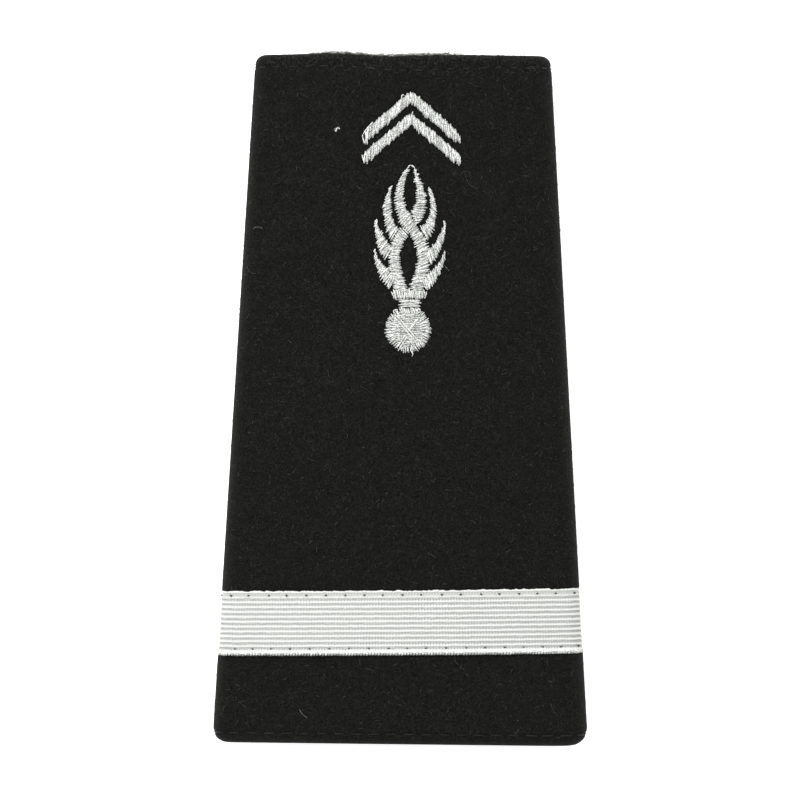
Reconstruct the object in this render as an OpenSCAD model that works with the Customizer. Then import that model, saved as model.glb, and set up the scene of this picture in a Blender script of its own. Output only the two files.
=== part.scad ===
// A slip-on shoulder board: a tapering felt sleeve with a ribbed ribbon, two chevrons and a flaming grenade.
// X runs across the sleeve, +Y towards its narrow mouth, and its front faces +Z. It lies on its back.

/* [Sleeve] */
// Length of the sleeve from mouth to mouth
sleeve_length = 106; // [80:1:140]
// Width across the side folds at the wide mouth
wide_mouth_w = 57.9; // [50:0.1:70]
// Width across the side folds at the narrow mouth
narrow_mouth_w = 45.5; // [38:0.1:50]
// Rise of the front from the side folds to its middle
front_crown = 2.8; // [1:0.1:4]
// Height of the side folds over the flat of the back
side_lift = 1.9; // [1.5:0.1:3]
// Share of the width over which the back lies flat
back_flat_share = 0.55; // [0.4:0.05:0.7]
// Inner radius of the two side folds
fold_inside_r = 1.2; // [1:0.1:3]
// How far the middle of the narrow mouth stands out past its corners
narrow_mouth_bow = 0.4; // [0:0.1:2]
// How much further the wide mouth reaches at its right corner than at its left one
wide_mouth_skew = 0.4; // [-2:0.1:2]
// Length over which each corner of the mouths is rounded
corner_length = 2.8; // [2:0.1:5]
// How far the corners of the wide mouth are drawn in
wide_corner_in = 1; // [0.2:0.1:2]
// How far the corners of the narrow mouth are drawn in
narrow_corner_in = 0.5; // [0.2:0.1:2]

/* [Felt] */
// Thickness of the felt
felt_t = 1.5; // [1:0.1:2]
// Thickness that the turned-in hem adds to the felt at each mouth
hem_extra_t = 0.9; // [0.4:0.1:1]
// Depth of the turned-in hem
hem_depth = 6.5; // [4:0.5:10]

/* [Ribbon] */
// Width of the ribbon
ribbon_w = 10; // [6:0.5:14]
// Distance from the wide mouth to the ribbon
ribbon_from_mouth = 13.9; // [8:0.1:20]
// Thickness of the ribbon between its ribs
ribbon_t = 0.35; // [0.25:0.05:0.6]
// Height of the ribs over the ribbon
rib_h = 0.3; // [0.15:0.05:0.5]
// Number of ribs along the ribbon
rib_count = 13; // [5:1:15]
// Slope of the ribbon across the sleeve in degrees
ribbon_slope = 0.72; // [-2:0.02:2]
// How far each end of the ribbon wraps past the side fold under the back
ribbon_wrap = 2; // [1:0.1:2.4]
// How far the ribbon draws the side folds in
ribbon_pinch = 0.5; // [0:0.05:0.6]

/* [Embroidery] */
// Height of a satin-stitched band along its middle
satin_h = 0.8; // [0.5:0.05:1.2]
// Height of a satin-stitched band at its edges
satin_edge_h = 0.3; // [0.15:0.05:0.4]
// Height of the ball of the grenade at its middle
ball_h = 1; // [0.6:0.05:1.5]
// Clearance between the felt and what is sewn on it
seat_gap = 0.06; // [0.05:0.01:0.15]

/* [Chevrons] */
// Distance from the narrow mouth to the point of the upper chevron
chevron_from_mouth = 5.7; // [4:0.1:9]
// Distance from the middle of the sleeve to the middle of the chevrons
chevron_shift = 1.25; // [-3:0.05:3]
// Half of the span of each chevron
chevron_half_span = 7.5; // [5:0.1:10]
// Width of a chevron's arm, measured along the sleeve
chevron_arm_w = 2; // [1:0.05:2.5]
// Distance between the points of the two chevrons
chevron_pitch = 3.45; // [2.8:0.05:5]
// Drop of the upper chevron's arms from its point to their ends
upper_chevron_drop = 6.6; // [4:0.1:8]
// Drop of the lower chevron's arms from its point to their ends
lower_chevron_drop = 6.35; // [4:0.05:8]

/* [Grenade] */
// Height of the grenade from the foot of its ball to the tip of its flame
grenade_h = 29.1; // [22:0.1:34]
// Distance from the narrow mouth to the tip of the flame
grenade_from_mouth = 16.9; // [15:0.1:26]
// Distance from the middle of the sleeve to the middle of the ball
grenade_shift = 0.95; // [-3:0.05:3]
// Turn of the grenade on the sleeve in degrees
grenade_turn = 0.26; // [-3:0.02:3]

/* [Hidden] */

felt_colour = [0.13, 0.13, 0.125];
ribbon_colour = [0.93, 0.94, 0.92];
thread_colour = [0.84, 0.85, 0.83];

fold_r = fold_inside_r + felt_t;
hem_t = felt_t + hem_extra_t;
lip_r = hem_t / 2;
narrow_y = sleeve_length / 2;
wide_y = -sleeve_length / 2;

// Least radius left at the inside of a fold where the hem fills it
least_fold_r = 0.1;

// Points that each stretch of the sleeve's section is drawn with
rise_steps = 3;
fold_steps = 6;
front_steps = 7;

// Stretches of the outline of one side, from the middle of the back to the middle of the front
FLAT = 0;
RISE = 1;
FOLD = 2;
FRONT = 3;

// Half of the sleeve's width at y, before its corners are rounded
function half_width(y) =
    (wide_mouth_w + (narrow_mouth_w - wide_mouth_w) * (y - wide_y) / sleeve_length) / 2;

// How far the corners draw the sides in at y
function corner_in(y) = let(
    from_wide = max(0, 1 - (y - wide_y) / corner_length),
    from_narrow = max(0, 1 - (narrow_y - y) / corner_length)
) wide_corner_in * pow(from_wide, 2) + narrow_corner_in * pow(from_narrow, 2);

// Half width of the flat of the back, lower end, upper end and centre height of the side fold for a half width
function flat_end(half) = back_flat_share * half;
function rise_angle(half) = atan(2 * side_lift / (half - fold_r - flat_end(half)));
function rise_end(half) = half - fold_r + fold_r * sin(rise_angle(half));
function front_angle(half) = atan(2 * front_crown / (half - fold_r));
function front_end(half) = half - fold_r + fold_r * sin(front_angle(half));
function fold_centre_z(half) = side_lift + fold_r * cos(rise_angle(half));
function crown_z(half) = fold_centre_z(half) + fold_r * cos(front_angle(half)) + front_crown;

// Height of the front of the sleeve at a point on it
function front_z(x, y) = let(half = half_width(y)) crown_z(half) - front_crown * pow(x / front_end(half), 2);

function unit(v) = v / norm(v);

// Point and outward normal of the section on its right side, as [point, normal]
function outline(half, stretch, f) =
    stretch == FLAT ? [[f * flat_end(half), 0], [0, -1]]
    : stretch == RISE ? let(run = rise_end(half) - flat_end(half))
        [[flat_end(half) + f * run, side_lift * f * f], unit([2 * side_lift * f / run, -1])]
    : stretch == FOLD ? let(
            from = rise_angle(half) - 90,
            to = 90 - front_angle(half),
            at = from + f * (to - from)
        ) [[half - fold_r, fold_centre_z(half)] + fold_r * [cos(at), sin(at)], [cos(at), sin(at)]]
    : let(x = (1 - f) * front_end(half))
        [[x, crown_z(half) - front_crown * pow(x / front_end(half), 2)],
            unit([2 * front_crown * x / pow(front_end(half), 2), 1])];

// Point of the section moved inwards by inset, or outwards where inset is negative; side is 1 or -1
function section_point(half, side, station, inset) = let(
    at = outline(half, station[0], station[1]),
    depth = station[0] == FOLD ? min(inset, fold_r - least_fold_r) : inset,
    p = at[0] - depth * at[1]
) [side * p[0], p[1]];

// How far the pull of the ribbon moves the same point of the section inwards
function pinch_shift(half, side, station) = let(
    x = outline(half, station[0], station[1])[0][0]
) -side * ribbon_pinch * pow(x / half, 6);

// Stations over the side fold and the front, and before them those of the back
upper_stations = concat(
    [for (i = [0:fold_steps]) [FOLD, i / fold_steps]],
    [for (i = [1:front_steps]) [FRONT, i / front_steps]]
);
half_stations = concat(
    [[FLAT, 0], [FLAT, 1]],
    [for (i = [1:rise_steps - 1]) [RISE, i / rise_steps]],
    upper_stations
);
last_station = len(half_stations) - 1;

// Stations all the way round, each as [side, station]
round_stations = concat(
    [for (i = [0:last_station]) [1, half_stations[i]]],
    [for (i = [last_station - 1:-1:1]) [-1, half_stations[i]]]
);

// Faces between rings of n points, each ring joined to the next; with ends closed or the last joined to the first
function ring_faces(rings, n, looped) = [
    for (i = [0:rings - (looped ? 1 : 2)], j = [0:n - 1], half = [0, 1])
        let(
            a = i * n + j,
            b = i * n + (j + 1) % n,
            c = ((i + 1) % rings) * n + (j + 1) % n,
            d = ((i + 1) % rings) * n + j
        ) half == 0 ? [a, b, c] : [a, c, d]
];
function end_faces(rings, n) = concat(
    [for (j = [1:n - 2]) [0, j + 1, j]],
    [for (j = [1:n - 2]) (rings - 1) * n * [1, 1, 1] + [0, j, j + 1]]
);
function joined(rings) = [for (ring = rings, p = ring) p];

// A solid through rings of points; its ends are closed flat unless it is looped
module ringed_solid(rings, looped = false) {
    n = len(rings[0]);
    faces = ring_faces(len(rings), n, looped);
    closing = looped ? [] : end_faces(len(rings), n);
    polyhedron(points = joined(rings), faces = concat(faces, closing), convexity = 8);
}

// Rings at a mouth, as [distance from it, inset]: in from the corners, round the lip and on to the hem's end
lip_turns = [0, 35, 65, 90, 115, 145, 180];
corner_shares = [1, 0.7, 0.4];
mouth_rings = concat(
    [for (share = corner_shares) [lip_r + share * (corner_length - lip_r), 0]],
    [for (turn = lip_turns) [lip_r * (1 - sin(turn)), lip_r * (1 - cos(turn))]],
    [[hem_depth, hem_t], [hem_depth + hem_extra_t / 2, felt_t]]
);
last_mouth_ring = len(mouth_rings) - 1;

// Rings of the sleeve's outside along the ribbon, as [y, share of the pinch]
ribbon_low = wide_y + ribbon_from_mouth;
ribbon_high = ribbon_low + ribbon_w;
ribbon_middle = (ribbon_low + ribbon_high) / 2;
pinch_run = 0.45;
pinch_margin = 0.1;
pinched_rings = [
    [ribbon_low - pinch_run, 0],
    [ribbon_low - pinch_margin, 1],
    [ribbon_middle, 1],
    [ribbon_high + pinch_margin, 1],
    [ribbon_high + pinch_run, 0]
];
plain_rings = 5;
inner_rings = 7;

// How far a point at x follows the ribbon's slope
function slope_rise(x) = x * tan(ribbon_slope);

// Ring at y; near the mouths it follows the mouth's own outline
function sleeve_ring(y, inset) = let(
    near_narrow = pow(max(0, 2 * y / sleeve_length), 6),
    near_wide = pow(max(0, -2 * y / sleeve_length), 6),
    half = half_width(y) - corner_in(y)
) [
    for (at = round_stations) let(
        p = section_point(half, at[0], at[1], inset),
        across = p[0] / half,
        bow = narrow_mouth_bow * (0.5 - across * across) * near_narrow,
        skew = wide_mouth_skew / 2 * across * near_wide
    ) [p[0], y + bow - skew, p[1]]
];
function pinched_ring(y, share) = let(half = half_width(y)) [
    for (at = round_stations) let(
        p = section_point(half, at[0], at[1], 0),
        x = p[0] + share * pinch_shift(half, at[0], at[1])
    ) [x, y + slope_rise(p[0]), p[1]]
];

module felt_sleeve() {
    wide_part = [for (ring = mouth_rings) sleeve_ring(wide_y + ring[0], ring[1])];
    narrow_part = [for (i = [last_mouth_ring:-1:0])
        sleeve_ring(narrow_y - mouth_rings[i][0], mouth_rings[i][1])];
    hem_end = mouth_rings[last_mouth_ring][0];
    inside = [for (i = [1:inner_rings - 1])
        sleeve_ring(wide_y + hem_end + (sleeve_length - 2 * hem_end) * i / inner_rings, felt_t)];
    plain_start = narrow_y - corner_length;
    plain_end = ribbon_high + pinch_run;
    plain = [for (i = [1:plain_rings - 1])
        sleeve_ring(plain_start + (plain_end - plain_start) * i / plain_rings, 0)];
    pinched = [for (i = [len(pinched_rings) - 1:-1:0]) pinched_ring(pinched_rings[i][0], pinched_rings[i][1])];
    color(felt_colour) ringed_solid(concat(wide_part, inside, narrow_part, plain, pinched), looped = true);
}

// Share of the back's rise at which the ribbon's ends lie
ribbon_half = half_width(ribbon_middle);
ribbon_end = 1 - ribbon_wrap / (rise_end(ribbon_half) - flat_end(ribbon_half));
ribbon_stations = concat([[RISE, ribbon_end]], upper_stations);
last_ribbon_station = len(ribbon_stations) - 1;

// Share of its height that a rib has at each step across it, from the groove before it
rib_profile = [0, 0.87, 0.87];
rib_steps = rib_count * len(rib_profile);

// Point of the ribbon at a share of its width, at a height over the felt
function ribbon_point(side, station, share, height) = let(
    middle_x = section_point(ribbon_half, side, station, 0)[0],
    y = ribbon_low + share * ribbon_w,
    p = section_point(half_width(y), side, station, -seat_gap - height)
) [p[0] + pinch_shift(half_width(y), side, station), y + slope_rise(middle_x), p[1]];
function ribbon_ring(side, station) = concat(
    [ribbon_point(side, station, 1, 0), ribbon_point(side, station, 0, 0)],
    [for (i = [0:rib_steps])
        ribbon_point(side, station, i / rib_steps, ribbon_t + rib_h * rib_profile[i % len(rib_profile)])]
);
module rank_ribbon() {
    left_side = [for (station = ribbon_stations) ribbon_ring(-1, station)];
    right_side = [for (i = [last_ribbon_station - 1:-1:0]) ribbon_ring(1, ribbon_stations[i])];
    color(ribbon_colour) ringed_solid(concat(left_side, right_side));
}

// Satin stitch: rows of [left x, left y, right x, right y], where each row is a stitch from one edge to the other
LEFT_X = 0;
LEFT_Y = 1;
RIGHT_X = 2;
RIGHT_Y = 3;

// Row between row i and the next one, on a smooth curve through the rows
function smooth_row(rows, i, f) = let(
    last = len(rows) - 1,
    before = rows[max(0, i - 1)],
    here = rows[i],
    next = rows[min(last, i + 1)],
    after = rows[min(last, i + 2)]
) (2 * here + (next - before) * f + (2 * before - 5 * here + 4 * next - after) * f * f
    + (3 * here - before - 3 * next + after) * f * f * f) / 2;
function smooth_rows(rows, steps) = concat(
    [for (i = [0:len(rows) - 2], k = [0:steps - 1]) smooth_row(rows, i, k / steps)],
    [rows[len(rows) - 1]]
);
function row_left(row) = [row[LEFT_X], row[LEFT_Y]];
function row_right(row) = [row[RIGHT_X], row[RIGHT_Y]];

// Shares of a stitch and of the band's height at each point across the band
across_band = [[0, 0], [0.1, 0.45], [0.27, 0.85], [0.5, 1], [0.73, 0.85], [0.9, 0.45], [1, 0]];
// Share of its full height that a band has at each of its two ends
end_share = 0.45;

// A padded band of satin stitches lying on the front; its rows are in millimetres
module satin_band(rows) {
    last = len(rows) - 1;
    middle = floor(last / 2);
    run = row_left(rows[middle + 1]) - row_left(rows[middle]);
    over = row_right(rows[middle]) - row_left(rows[middle]);
    clockwise = run[0] * over[1] - run[1] * over[0] < 0;
    rings = [for (i = [0:last]) let(
        from = clockwise ? row_left(rows[i]) : row_right(rows[i]),
        to = clockwise ? row_right(rows[i]) : row_left(rows[i]),
        fullness = i == 0 || i == last ? end_share : 1,
        base = [for (p = [to, from]) [p[0], p[1], front_z(p[0], p[1]) + seat_gap]],
        top = [for (at = across_band) let(
            p = from + at[0] * (to - from),
            height = satin_edge_h + (satin_h - satin_edge_h) * at[1] * fullness
        ) [p[0], p[1], front_z(p[0], p[1]) + seat_gap + height]]
    ) concat(base, top)];
    color(thread_colour) ringed_solid(rings);
}

// Chevron: its arms in steps from the left end to the point and on to the right end
chevron_steps = 7;
// Share of the half span by which an arm's end leans inwards at its foot
arm_end_lean = 0.07;
function chevron_row(share, point_y, drop) = let(
    x = chevron_shift + share * chevron_half_span,
    y = point_y - abs(share) * drop,
    foot = abs(share) == 1 ? arm_end_lean * sign(share) * chevron_half_span : 0,
    foot_rise = abs(foot) / chevron_half_span * drop
) [x, y, x - foot, y - chevron_arm_w + foot_rise];
module chevron(point_y, drop) {
    satin_band([for (i = [-chevron_steps:chevron_steps])
        chevron_row(i / chevron_steps, point_y, drop)]);
}
upper_point_y = narrow_y - chevron_from_mouth;
module chevron_upper() {
    chevron(upper_point_y, upper_chevron_drop);
}
module chevron_lower() {
    chevron(upper_point_y - chevron_pitch, lower_chevron_drop);
}

// Grenade: its tables give places in hundredths of its height, from the foot of the ball
function grenade_place(u, v) = let(
    x = u * grenade_h / 100,
    y = v * grenade_h / 100
) [
    grenade_shift + x * cos(grenade_turn) - y * sin(grenade_turn),
    narrow_y - grenade_from_mouth - grenade_h + y * cos(grenade_turn) + x * sin(grenade_turn)
];
function placed_row(row) = concat(
    grenade_place(row[LEFT_X], row[LEFT_Y]),
    grenade_place(row[RIGHT_X], row[RIGHT_Y])
);
module grenade_band(rows, steps) {
    satin_band([for (row = smooth_rows(rows, steps)) placed_row(row)]);
}

// Strand from the tip down the left of the upper leaf, over the crossing and down the right of the lower leaf
strand_over_rows = [
    [2.0, 99.8, 2.3, 98.0],
    [-1.6, 97.8, 0.6, 96.8],
    [-4.0, 93.1, -1.1, 93.1],
    [-6.2, 87.5, -1.7, 87.2],
    [-7.2, 81.7, -2.1, 81.7],
    [-6.2, 75.4, -0.4, 76.2],
    [-4.0, 67.5, 2.3, 72.8],
    [0.5, 63.3, 5.8, 66.9],
    [3.3, 58.1, 9.9, 60.6],
    [4.9, 51.9, 11.4, 52.5],
    [4.3, 45.9, 10.9, 45.9],
    [2.2, 39.6, 9.2, 39.4],
    [1.0, 34.6, 8.0, 34.5]
];
// Strand down the right of the upper leaf, which ends against the one over it
strand_right_rows = [
    [3.1, 97.2, 4.1, 97.3],
    [3.3, 93.3, 5.9, 93.3],
    [4.1, 88.0, 8.2, 88.0],
    [4.3, 83.8, 9.6, 83.3],
    [3.8, 79.1, 9.7, 79.1],
    [2.9, 75.6, 8.4, 74.6],
    [3.7, 72.0, 7.1, 71.7],
    [4.9, 69.8, 5.9, 69.9]
];
// Strand down the left of the lower leaf, which starts against the one over it
strand_left_rows = [
    [-4.0, 66.5, 0.2, 62.7],
    [-6.0, 65.4, -0.7, 61.0],
    [-8.2, 61.9, -1.8, 59.3],
    [-9.2, 57.5, -3.0, 56.4],
    [-10.0, 52.2, -4.0, 51.9],
    [-9.9, 47.5, -3.8, 47.5],
    [-8.9, 41.9, -2.7, 41.9],
    [-7.8, 38.3, -1.2, 38.5],
    [-6.8, 34.6, 0.3, 34.7]
];
// Side flames, each from its tip to the strand that it grows from
left_upper_rows = [
    [-9.5, 88.4, -8.7, 88.4],
    [-10.7, 85.4, -8.8, 85.1],
    [-12.5, 81.2, -8.9, 81.2],
    [-13.1, 75.9, -8.5, 76.2],
    [-12.6, 70.9, -8.1, 72.2],
    [-11.6, 65.9, -6.7, 68.6],
    [-9.2, 61.4, -6.6, 65.6]
];
left_middle_rows = [
    [-17.4, 71.0, -16.4, 70.9],
    [-17.6, 67.5, -15.5, 67.6],
    [-16.9, 62.7, -13.5, 63.9],
    [-16.1, 58.3, -11.9, 60.0],
    [-15.4, 54.5, -10.3, 56.8],
    [-12.0, 51.0, -10.5, 54.0]
];
left_lower_rows = [
    [-18.0, 55.4, -17.3, 55.4],
    [-17.9, 51.4, -16.0, 51.7],
    [-17.4, 47.2, -13.9, 48.2],
    [-15.9, 42.9, -11.4, 45.4],
    [-13.7, 39.1, -9.7, 42.5],
    [-10.2, 36.6, -8.6, 39.2]
];
right_upper_rows = [
    [10.9, 88.0, 11.9, 87.8],
    [10.7, 84.8, 12.8, 84.6],
    [11.7, 80.1, 14.4, 80.4],
    [12.0, 75.6, 14.9, 75.4],
    [10.9, 71.7, 14.7, 70.4],
    [9.4, 68.1, 13.8, 66.2],
    [8.5, 65.6, 12.4, 62.6],
    [9.0, 64.2, 10.9, 60.9]
];
right_middle_rows = [
    [19.1, 70.1, 19.9, 70.1],
    [18.4, 66.7, 19.8, 66.5],
    [16.8, 63.6, 19.4, 62.4],
    [15.5, 60.3, 18.6, 58.5],
    [13.7, 57.5, 16.9, 54.8],
    [12.0, 55.6, 14.7, 51.7],
    [12.0, 52.2, 12.5, 48.8]
];
right_lower_rows = [
    [19.2, 54.4, 19.7, 54.3],
    [18.0, 51.2, 19.4, 50.7],
    [16.3, 48.1, 18.5, 46.7],
    [13.9, 45.1, 16.8, 42.5],
    [11.5, 42.7, 14.7, 39.3],
    [10.2, 39.6, 12.2, 36.4],
    [9.4, 37.5, 9.9, 35.6]
];
// Collar, neck and ring between the flame and the ball; the collar's and the ring's stitches stand upright
collar_rows = [
    [-8.7, 32.4, -7.8, 29.2],
    [-6.7, 33.7, -5.7, 29.1],
    [-3.2, 33.9, -2.6, 29.6],
    [0.5, 33.9, 0.5, 29.7],
    [4.2, 33.8, 4.2, 29.5],
    [7.6, 33.5, 7.1, 29.1],
    [9.8, 32.5, 9.3, 29.7]
];
neck_rows = [
    [-5.9, 28.5, 6.9, 28.5],
    [-4.9, 26.8, 7.1, 26.8],
    [-4.6, 25.0, 6.4, 25.0]
];
ring_rows = [
    [-4.7, 24.3, -4.9, 21.7],
    [-2.1, 24.5, -2.3, 21.5],
    [0.5, 24.5, 0.5, 21.4],
    [3.4, 24.4, 3.7, 21.6],
    [6.1, 24.0, 6.8, 22.2]
];
strand_steps = 3;
flame_steps = 2;

module flame_strand_over() {
    grenade_band(strand_over_rows, strand_steps);
}
module flame_strand_right() {
    grenade_band(strand_right_rows, flame_steps);
}
module flame_strand_left() {
    grenade_band(strand_left_rows, flame_steps);
}
module flame_left_upper() {
    grenade_band(left_upper_rows, flame_steps);
}
module flame_left_middle() {
    grenade_band(left_middle_rows, flame_steps);
}
module flame_left_lower() {
    grenade_band(left_lower_rows, flame_steps);
}
module flame_right_upper() {
    grenade_band(right_upper_rows, flame_steps);
}
module flame_right_middle() {
    grenade_band(right_middle_rows, flame_steps);
}
module flame_right_lower() {
    grenade_band(right_lower_rows, flame_steps);
}
module bomb_collar() {
    grenade_band(collar_rows, flame_steps);
}
module bomb_neck() {
    grenade_band(neck_rows, flame_steps);
}
module bomb_ring() {
    grenade_band(ring_rows, flame_steps);
}

// Ball: a domed disc, notched where the ring meets it; sizes in hundredths of the grenade's height
ball_centre = [0, 13];
ball_r = 12.2;
// The notch's floor, measured up from the ball's centre, and the directions that it lies between
notch_floor = 7.9;
notch_left = -37;
notch_right = 44;
ball_sides = 45;
// Shares of the ball's radius and of its height from its rim to near its middle
ball_dome = [[1, 0], [0.93, 0.5], [0.8, 0.8], [0.55, 0.95], [0.25, 1]];
ball_under = [1, 0.6, 0.25];
function ball_reach(direction) = direction > notch_left && direction < notch_right
    ? min(ball_r, notch_floor / cos(direction)) : ball_r;
function ball_ring(share, height) = [
    for (i = [0:ball_sides - 1]) let(
        direction = 360 * i / ball_sides - 180,
        reach = share * ball_reach(direction),
        p = grenade_place(ball_centre[0] + reach * sin(direction), ball_centre[1] + reach * cos(direction))
    ) [p[0], p[1], front_z(p[0], p[1]) + seat_gap + height]
];
module bomb_ball() {
    under = [for (i = [len(ball_under) - 1:-1:0]) ball_ring(ball_under[i], 0)];
    over = [for (at = ball_dome) ball_ring(at[0], satin_edge_h + (ball_h - satin_edge_h) * at[1])];
    color(thread_colour) ringed_solid(concat(under, over));
}

felt_sleeve();
rank_ribbon();
chevron_upper();
chevron_lower();
flame_strand_over();
flame_strand_right();
flame_strand_left();
flame_left_upper();
flame_left_middle();
flame_left_lower();
flame_right_upper();
flame_right_middle();
flame_right_lower();
bomb_collar();
bomb_neck();
bomb_ring();
bomb_ball();
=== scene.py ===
import math
from types import SimpleNamespace

import bmesh
import bpy
import numpy as np
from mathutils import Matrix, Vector, noise


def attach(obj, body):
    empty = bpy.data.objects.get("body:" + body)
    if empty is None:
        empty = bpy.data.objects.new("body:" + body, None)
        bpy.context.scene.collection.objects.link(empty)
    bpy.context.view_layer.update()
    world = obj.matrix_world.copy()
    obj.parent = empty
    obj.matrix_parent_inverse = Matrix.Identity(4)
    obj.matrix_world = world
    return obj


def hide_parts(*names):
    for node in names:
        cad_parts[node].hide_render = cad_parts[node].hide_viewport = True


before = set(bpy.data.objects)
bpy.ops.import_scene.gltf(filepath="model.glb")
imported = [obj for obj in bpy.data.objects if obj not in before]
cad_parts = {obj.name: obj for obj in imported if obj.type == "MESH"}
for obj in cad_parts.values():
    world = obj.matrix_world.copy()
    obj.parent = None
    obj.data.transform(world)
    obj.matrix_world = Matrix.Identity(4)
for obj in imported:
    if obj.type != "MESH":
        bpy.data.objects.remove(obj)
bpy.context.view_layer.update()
MM = 0.001


# The view: the board lies on its back and is seen from straight above, a metre up. The width seen is the
# real width that the picture covers at the height of the side folds.
camera_height = 1000 * MM
fold_height = 4.5 * MM
seen_width = 123.26 * MM
camera_aside = -0.25 * MM
camera_turn = math.radians(0.257)

eye = bpy.data.cameras.new("eye")
eye.sensor_width = 36
eye.lens = eye.sensor_width * (camera_height - fold_height) / seen_width
camera = bpy.data.objects.new("camera", eye)
camera.location = (camera_aside, 0, camera_height)
camera.rotation_euler = (0, 0, camera_turn)
bpy.context.scene.collection.objects.link(camera)
bpy.context.scene.camera = camera
bpy.context.scene.view_settings.view_transform = "Standard"


# Felt sleeve: a tapering tube of black wool felt, folded flat at its sides and slightly crowned in front.
# Each mouth is turned in to a hem, so its lip is thicker and round. The hem's edge shows as a step inside.
sleeve_length = 106 * MM
wide_mouth = 57.9 * MM
narrow_mouth = 45.5 * MM
narrow_y = sleeve_length / 2
front_crown = 2.8 * MM
side_lift = 1.9 * MM
back_flat_share = 0.55
felt_thickness = 1.5 * MM
fold_radius = 1.2 * MM + felt_thickness
hem_thickness = felt_thickness + 0.9 * MM
hem_depth = 6.5 * MM
# The hem's cut edge: its run down to the single felt, in two steps, and the drop of the first
hem_edge_runs = (0.15 * MM, 0.45 * MM)
hem_edge_drop = 0.2 * MM
lip_radius = hem_thickness / 2
corner_length = 2.8 * MM
wide_corner_in = 1 * MM
narrow_corner_in = 0.25 * MM
# The wide mouth's lip slants by its skew and bows at its middle, and its right corner is the rounder one
wide_skew = 0.4 * MM
wide_bow = 0.16 * MM
wide_right_rise = 0.42 * MM
wide_right_power = 22
# The narrow mouth's lip swells a little on the left and dips near the middle: place, half width and amount
narrow_waves = ((-11 * MM, 4.5 * MM, 0.2 * MM), (-2 * MM, 4 * MM, -0.22 * MM))
narrow_stretch = 0.06 * MM
# The rubbed edge between the folds waves too: its amount, waves in a metre and reach as a share of the width
rubbed_waves = 0.11 * MM
rubbed_scale = 900
rubbed_reach = 0.6
# The felt's face is uneven: waves in a metre, a number that tells the layers apart, and depth in millimetres
face_waves = ((60, 0, 0.25), (220, 3, 0.1))
# A point moved in from a side fold stays this far from the fold's axis
least_turn = 0.1 * MM
# The mouths' waves and the ribbon's pinch fade away from the lips and the folds with this power
fade_power = 6
FRONT, FOLD, RISE, FLAT = range(4)

ribbon_width = 10 * MM
ribbon_low = 13.9 * MM - narrow_y
ribbon_slope = math.tan(math.radians(0.72))
ribbon_pinch = 0.68 * MM
pinch_run = 0.2 * MM

# Lines along which the hems are stitched, and how far the stitches draw the felt in. The narrow mouth's line
# sags by hem_sag near the middle of the front.
wide_hem_line = 1.6 * MM - narrow_y
narrow_hem_line = narrow_y - 1.95 * MM
hem_sag = 0.46 * MM
sag_middle = 2.5 * MM
sag_spread = 7.5 * MM
hem_line_depth = 0.16 * MM
hem_line_spread = 0.28 * MM


def section(y):
    """Sizes of the sleeve's outline at y."""
    from_wide = (y + narrow_y) / sleeve_length
    half = (wide_mouth + (narrow_mouth - wide_mouth) * from_wide) / 2
    half -= wide_corner_in * max(0, 1 - (narrow_y + y) / corner_length) ** 2
    half -= narrow_corner_in * max(0, 1 - (narrow_y - y) / corner_length) ** 2
    flat_end = back_flat_share * half
    rise_angle = math.atan(2 * side_lift / (half - fold_radius - flat_end))
    rise_run = half - fold_radius + fold_radius * math.sin(rise_angle) - flat_end
    front_angle = math.atan(2 * front_crown / (half - fold_radius))
    front_end = half - fold_radius + fold_radius * math.sin(front_angle)
    fold_z = side_lift + fold_radius * math.cos(rise_angle)
    lengths = (
        front_end + 2 * front_crown ** 2 / (3 * front_end),
        fold_radius * (math.pi - front_angle - rise_angle),
        rise_run + 2 * side_lift ** 2 / (3 * rise_run),
        flat_end,
    )
    return SimpleNamespace(
        half=half, flat_end=flat_end, rise_angle=rise_angle, rise_run=rise_run, front_angle=front_angle,
        front_end=front_end, fold_z=fold_z, lengths=lengths,
        crown_z=fold_z + fold_radius * math.cos(front_angle) + front_crown,
    )


def way_round(y):
    """Length of the way round the sleeve's outside at y."""
    return 2 * sum(section(y).lengths)


def outline(cut, station):
    """Point and outward normal, as x and z, at a station of a section.

    Stations count the outline's stretches from the middle of the front: front, fold, rise and flat.
    They are negative on the left."""
    side = -1 if station < 0 else 1
    stretch = min(int(abs(station)), FLAT)
    f = abs(station) - stretch
    if stretch == FRONT:
        point = (f * cut.front_end, cut.crown_z - front_crown * f * f)
        normal = (2 * front_crown * f / cut.front_end, 1)
    elif stretch == FOLD:
        turn = math.pi / 2 - cut.front_angle - f * (math.pi - cut.front_angle - cut.rise_angle)
        normal = (math.cos(turn), math.sin(turn))
        point = (cut.half - fold_radius + fold_radius * normal[0], cut.fold_z + fold_radius * normal[1])
    elif stretch == RISE:
        point = (cut.flat_end + (1 - f) * cut.rise_run, side_lift * (1 - f) ** 2)
        normal = (2 * side_lift * (1 - f) / cut.rise_run, -1)
    else:
        point = ((1 - f) * cut.flat_end, 0)
        normal = (0, -1)
    return Vector((side * point[0], point[1])), Vector((side * normal[0], normal[1])).normalized()


def sagging(x):
    """How far the narrow mouth's line of stitches lies below its straight place at x."""
    return hem_sag * math.exp(-((x - sag_middle) / sag_spread) ** 2)


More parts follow.
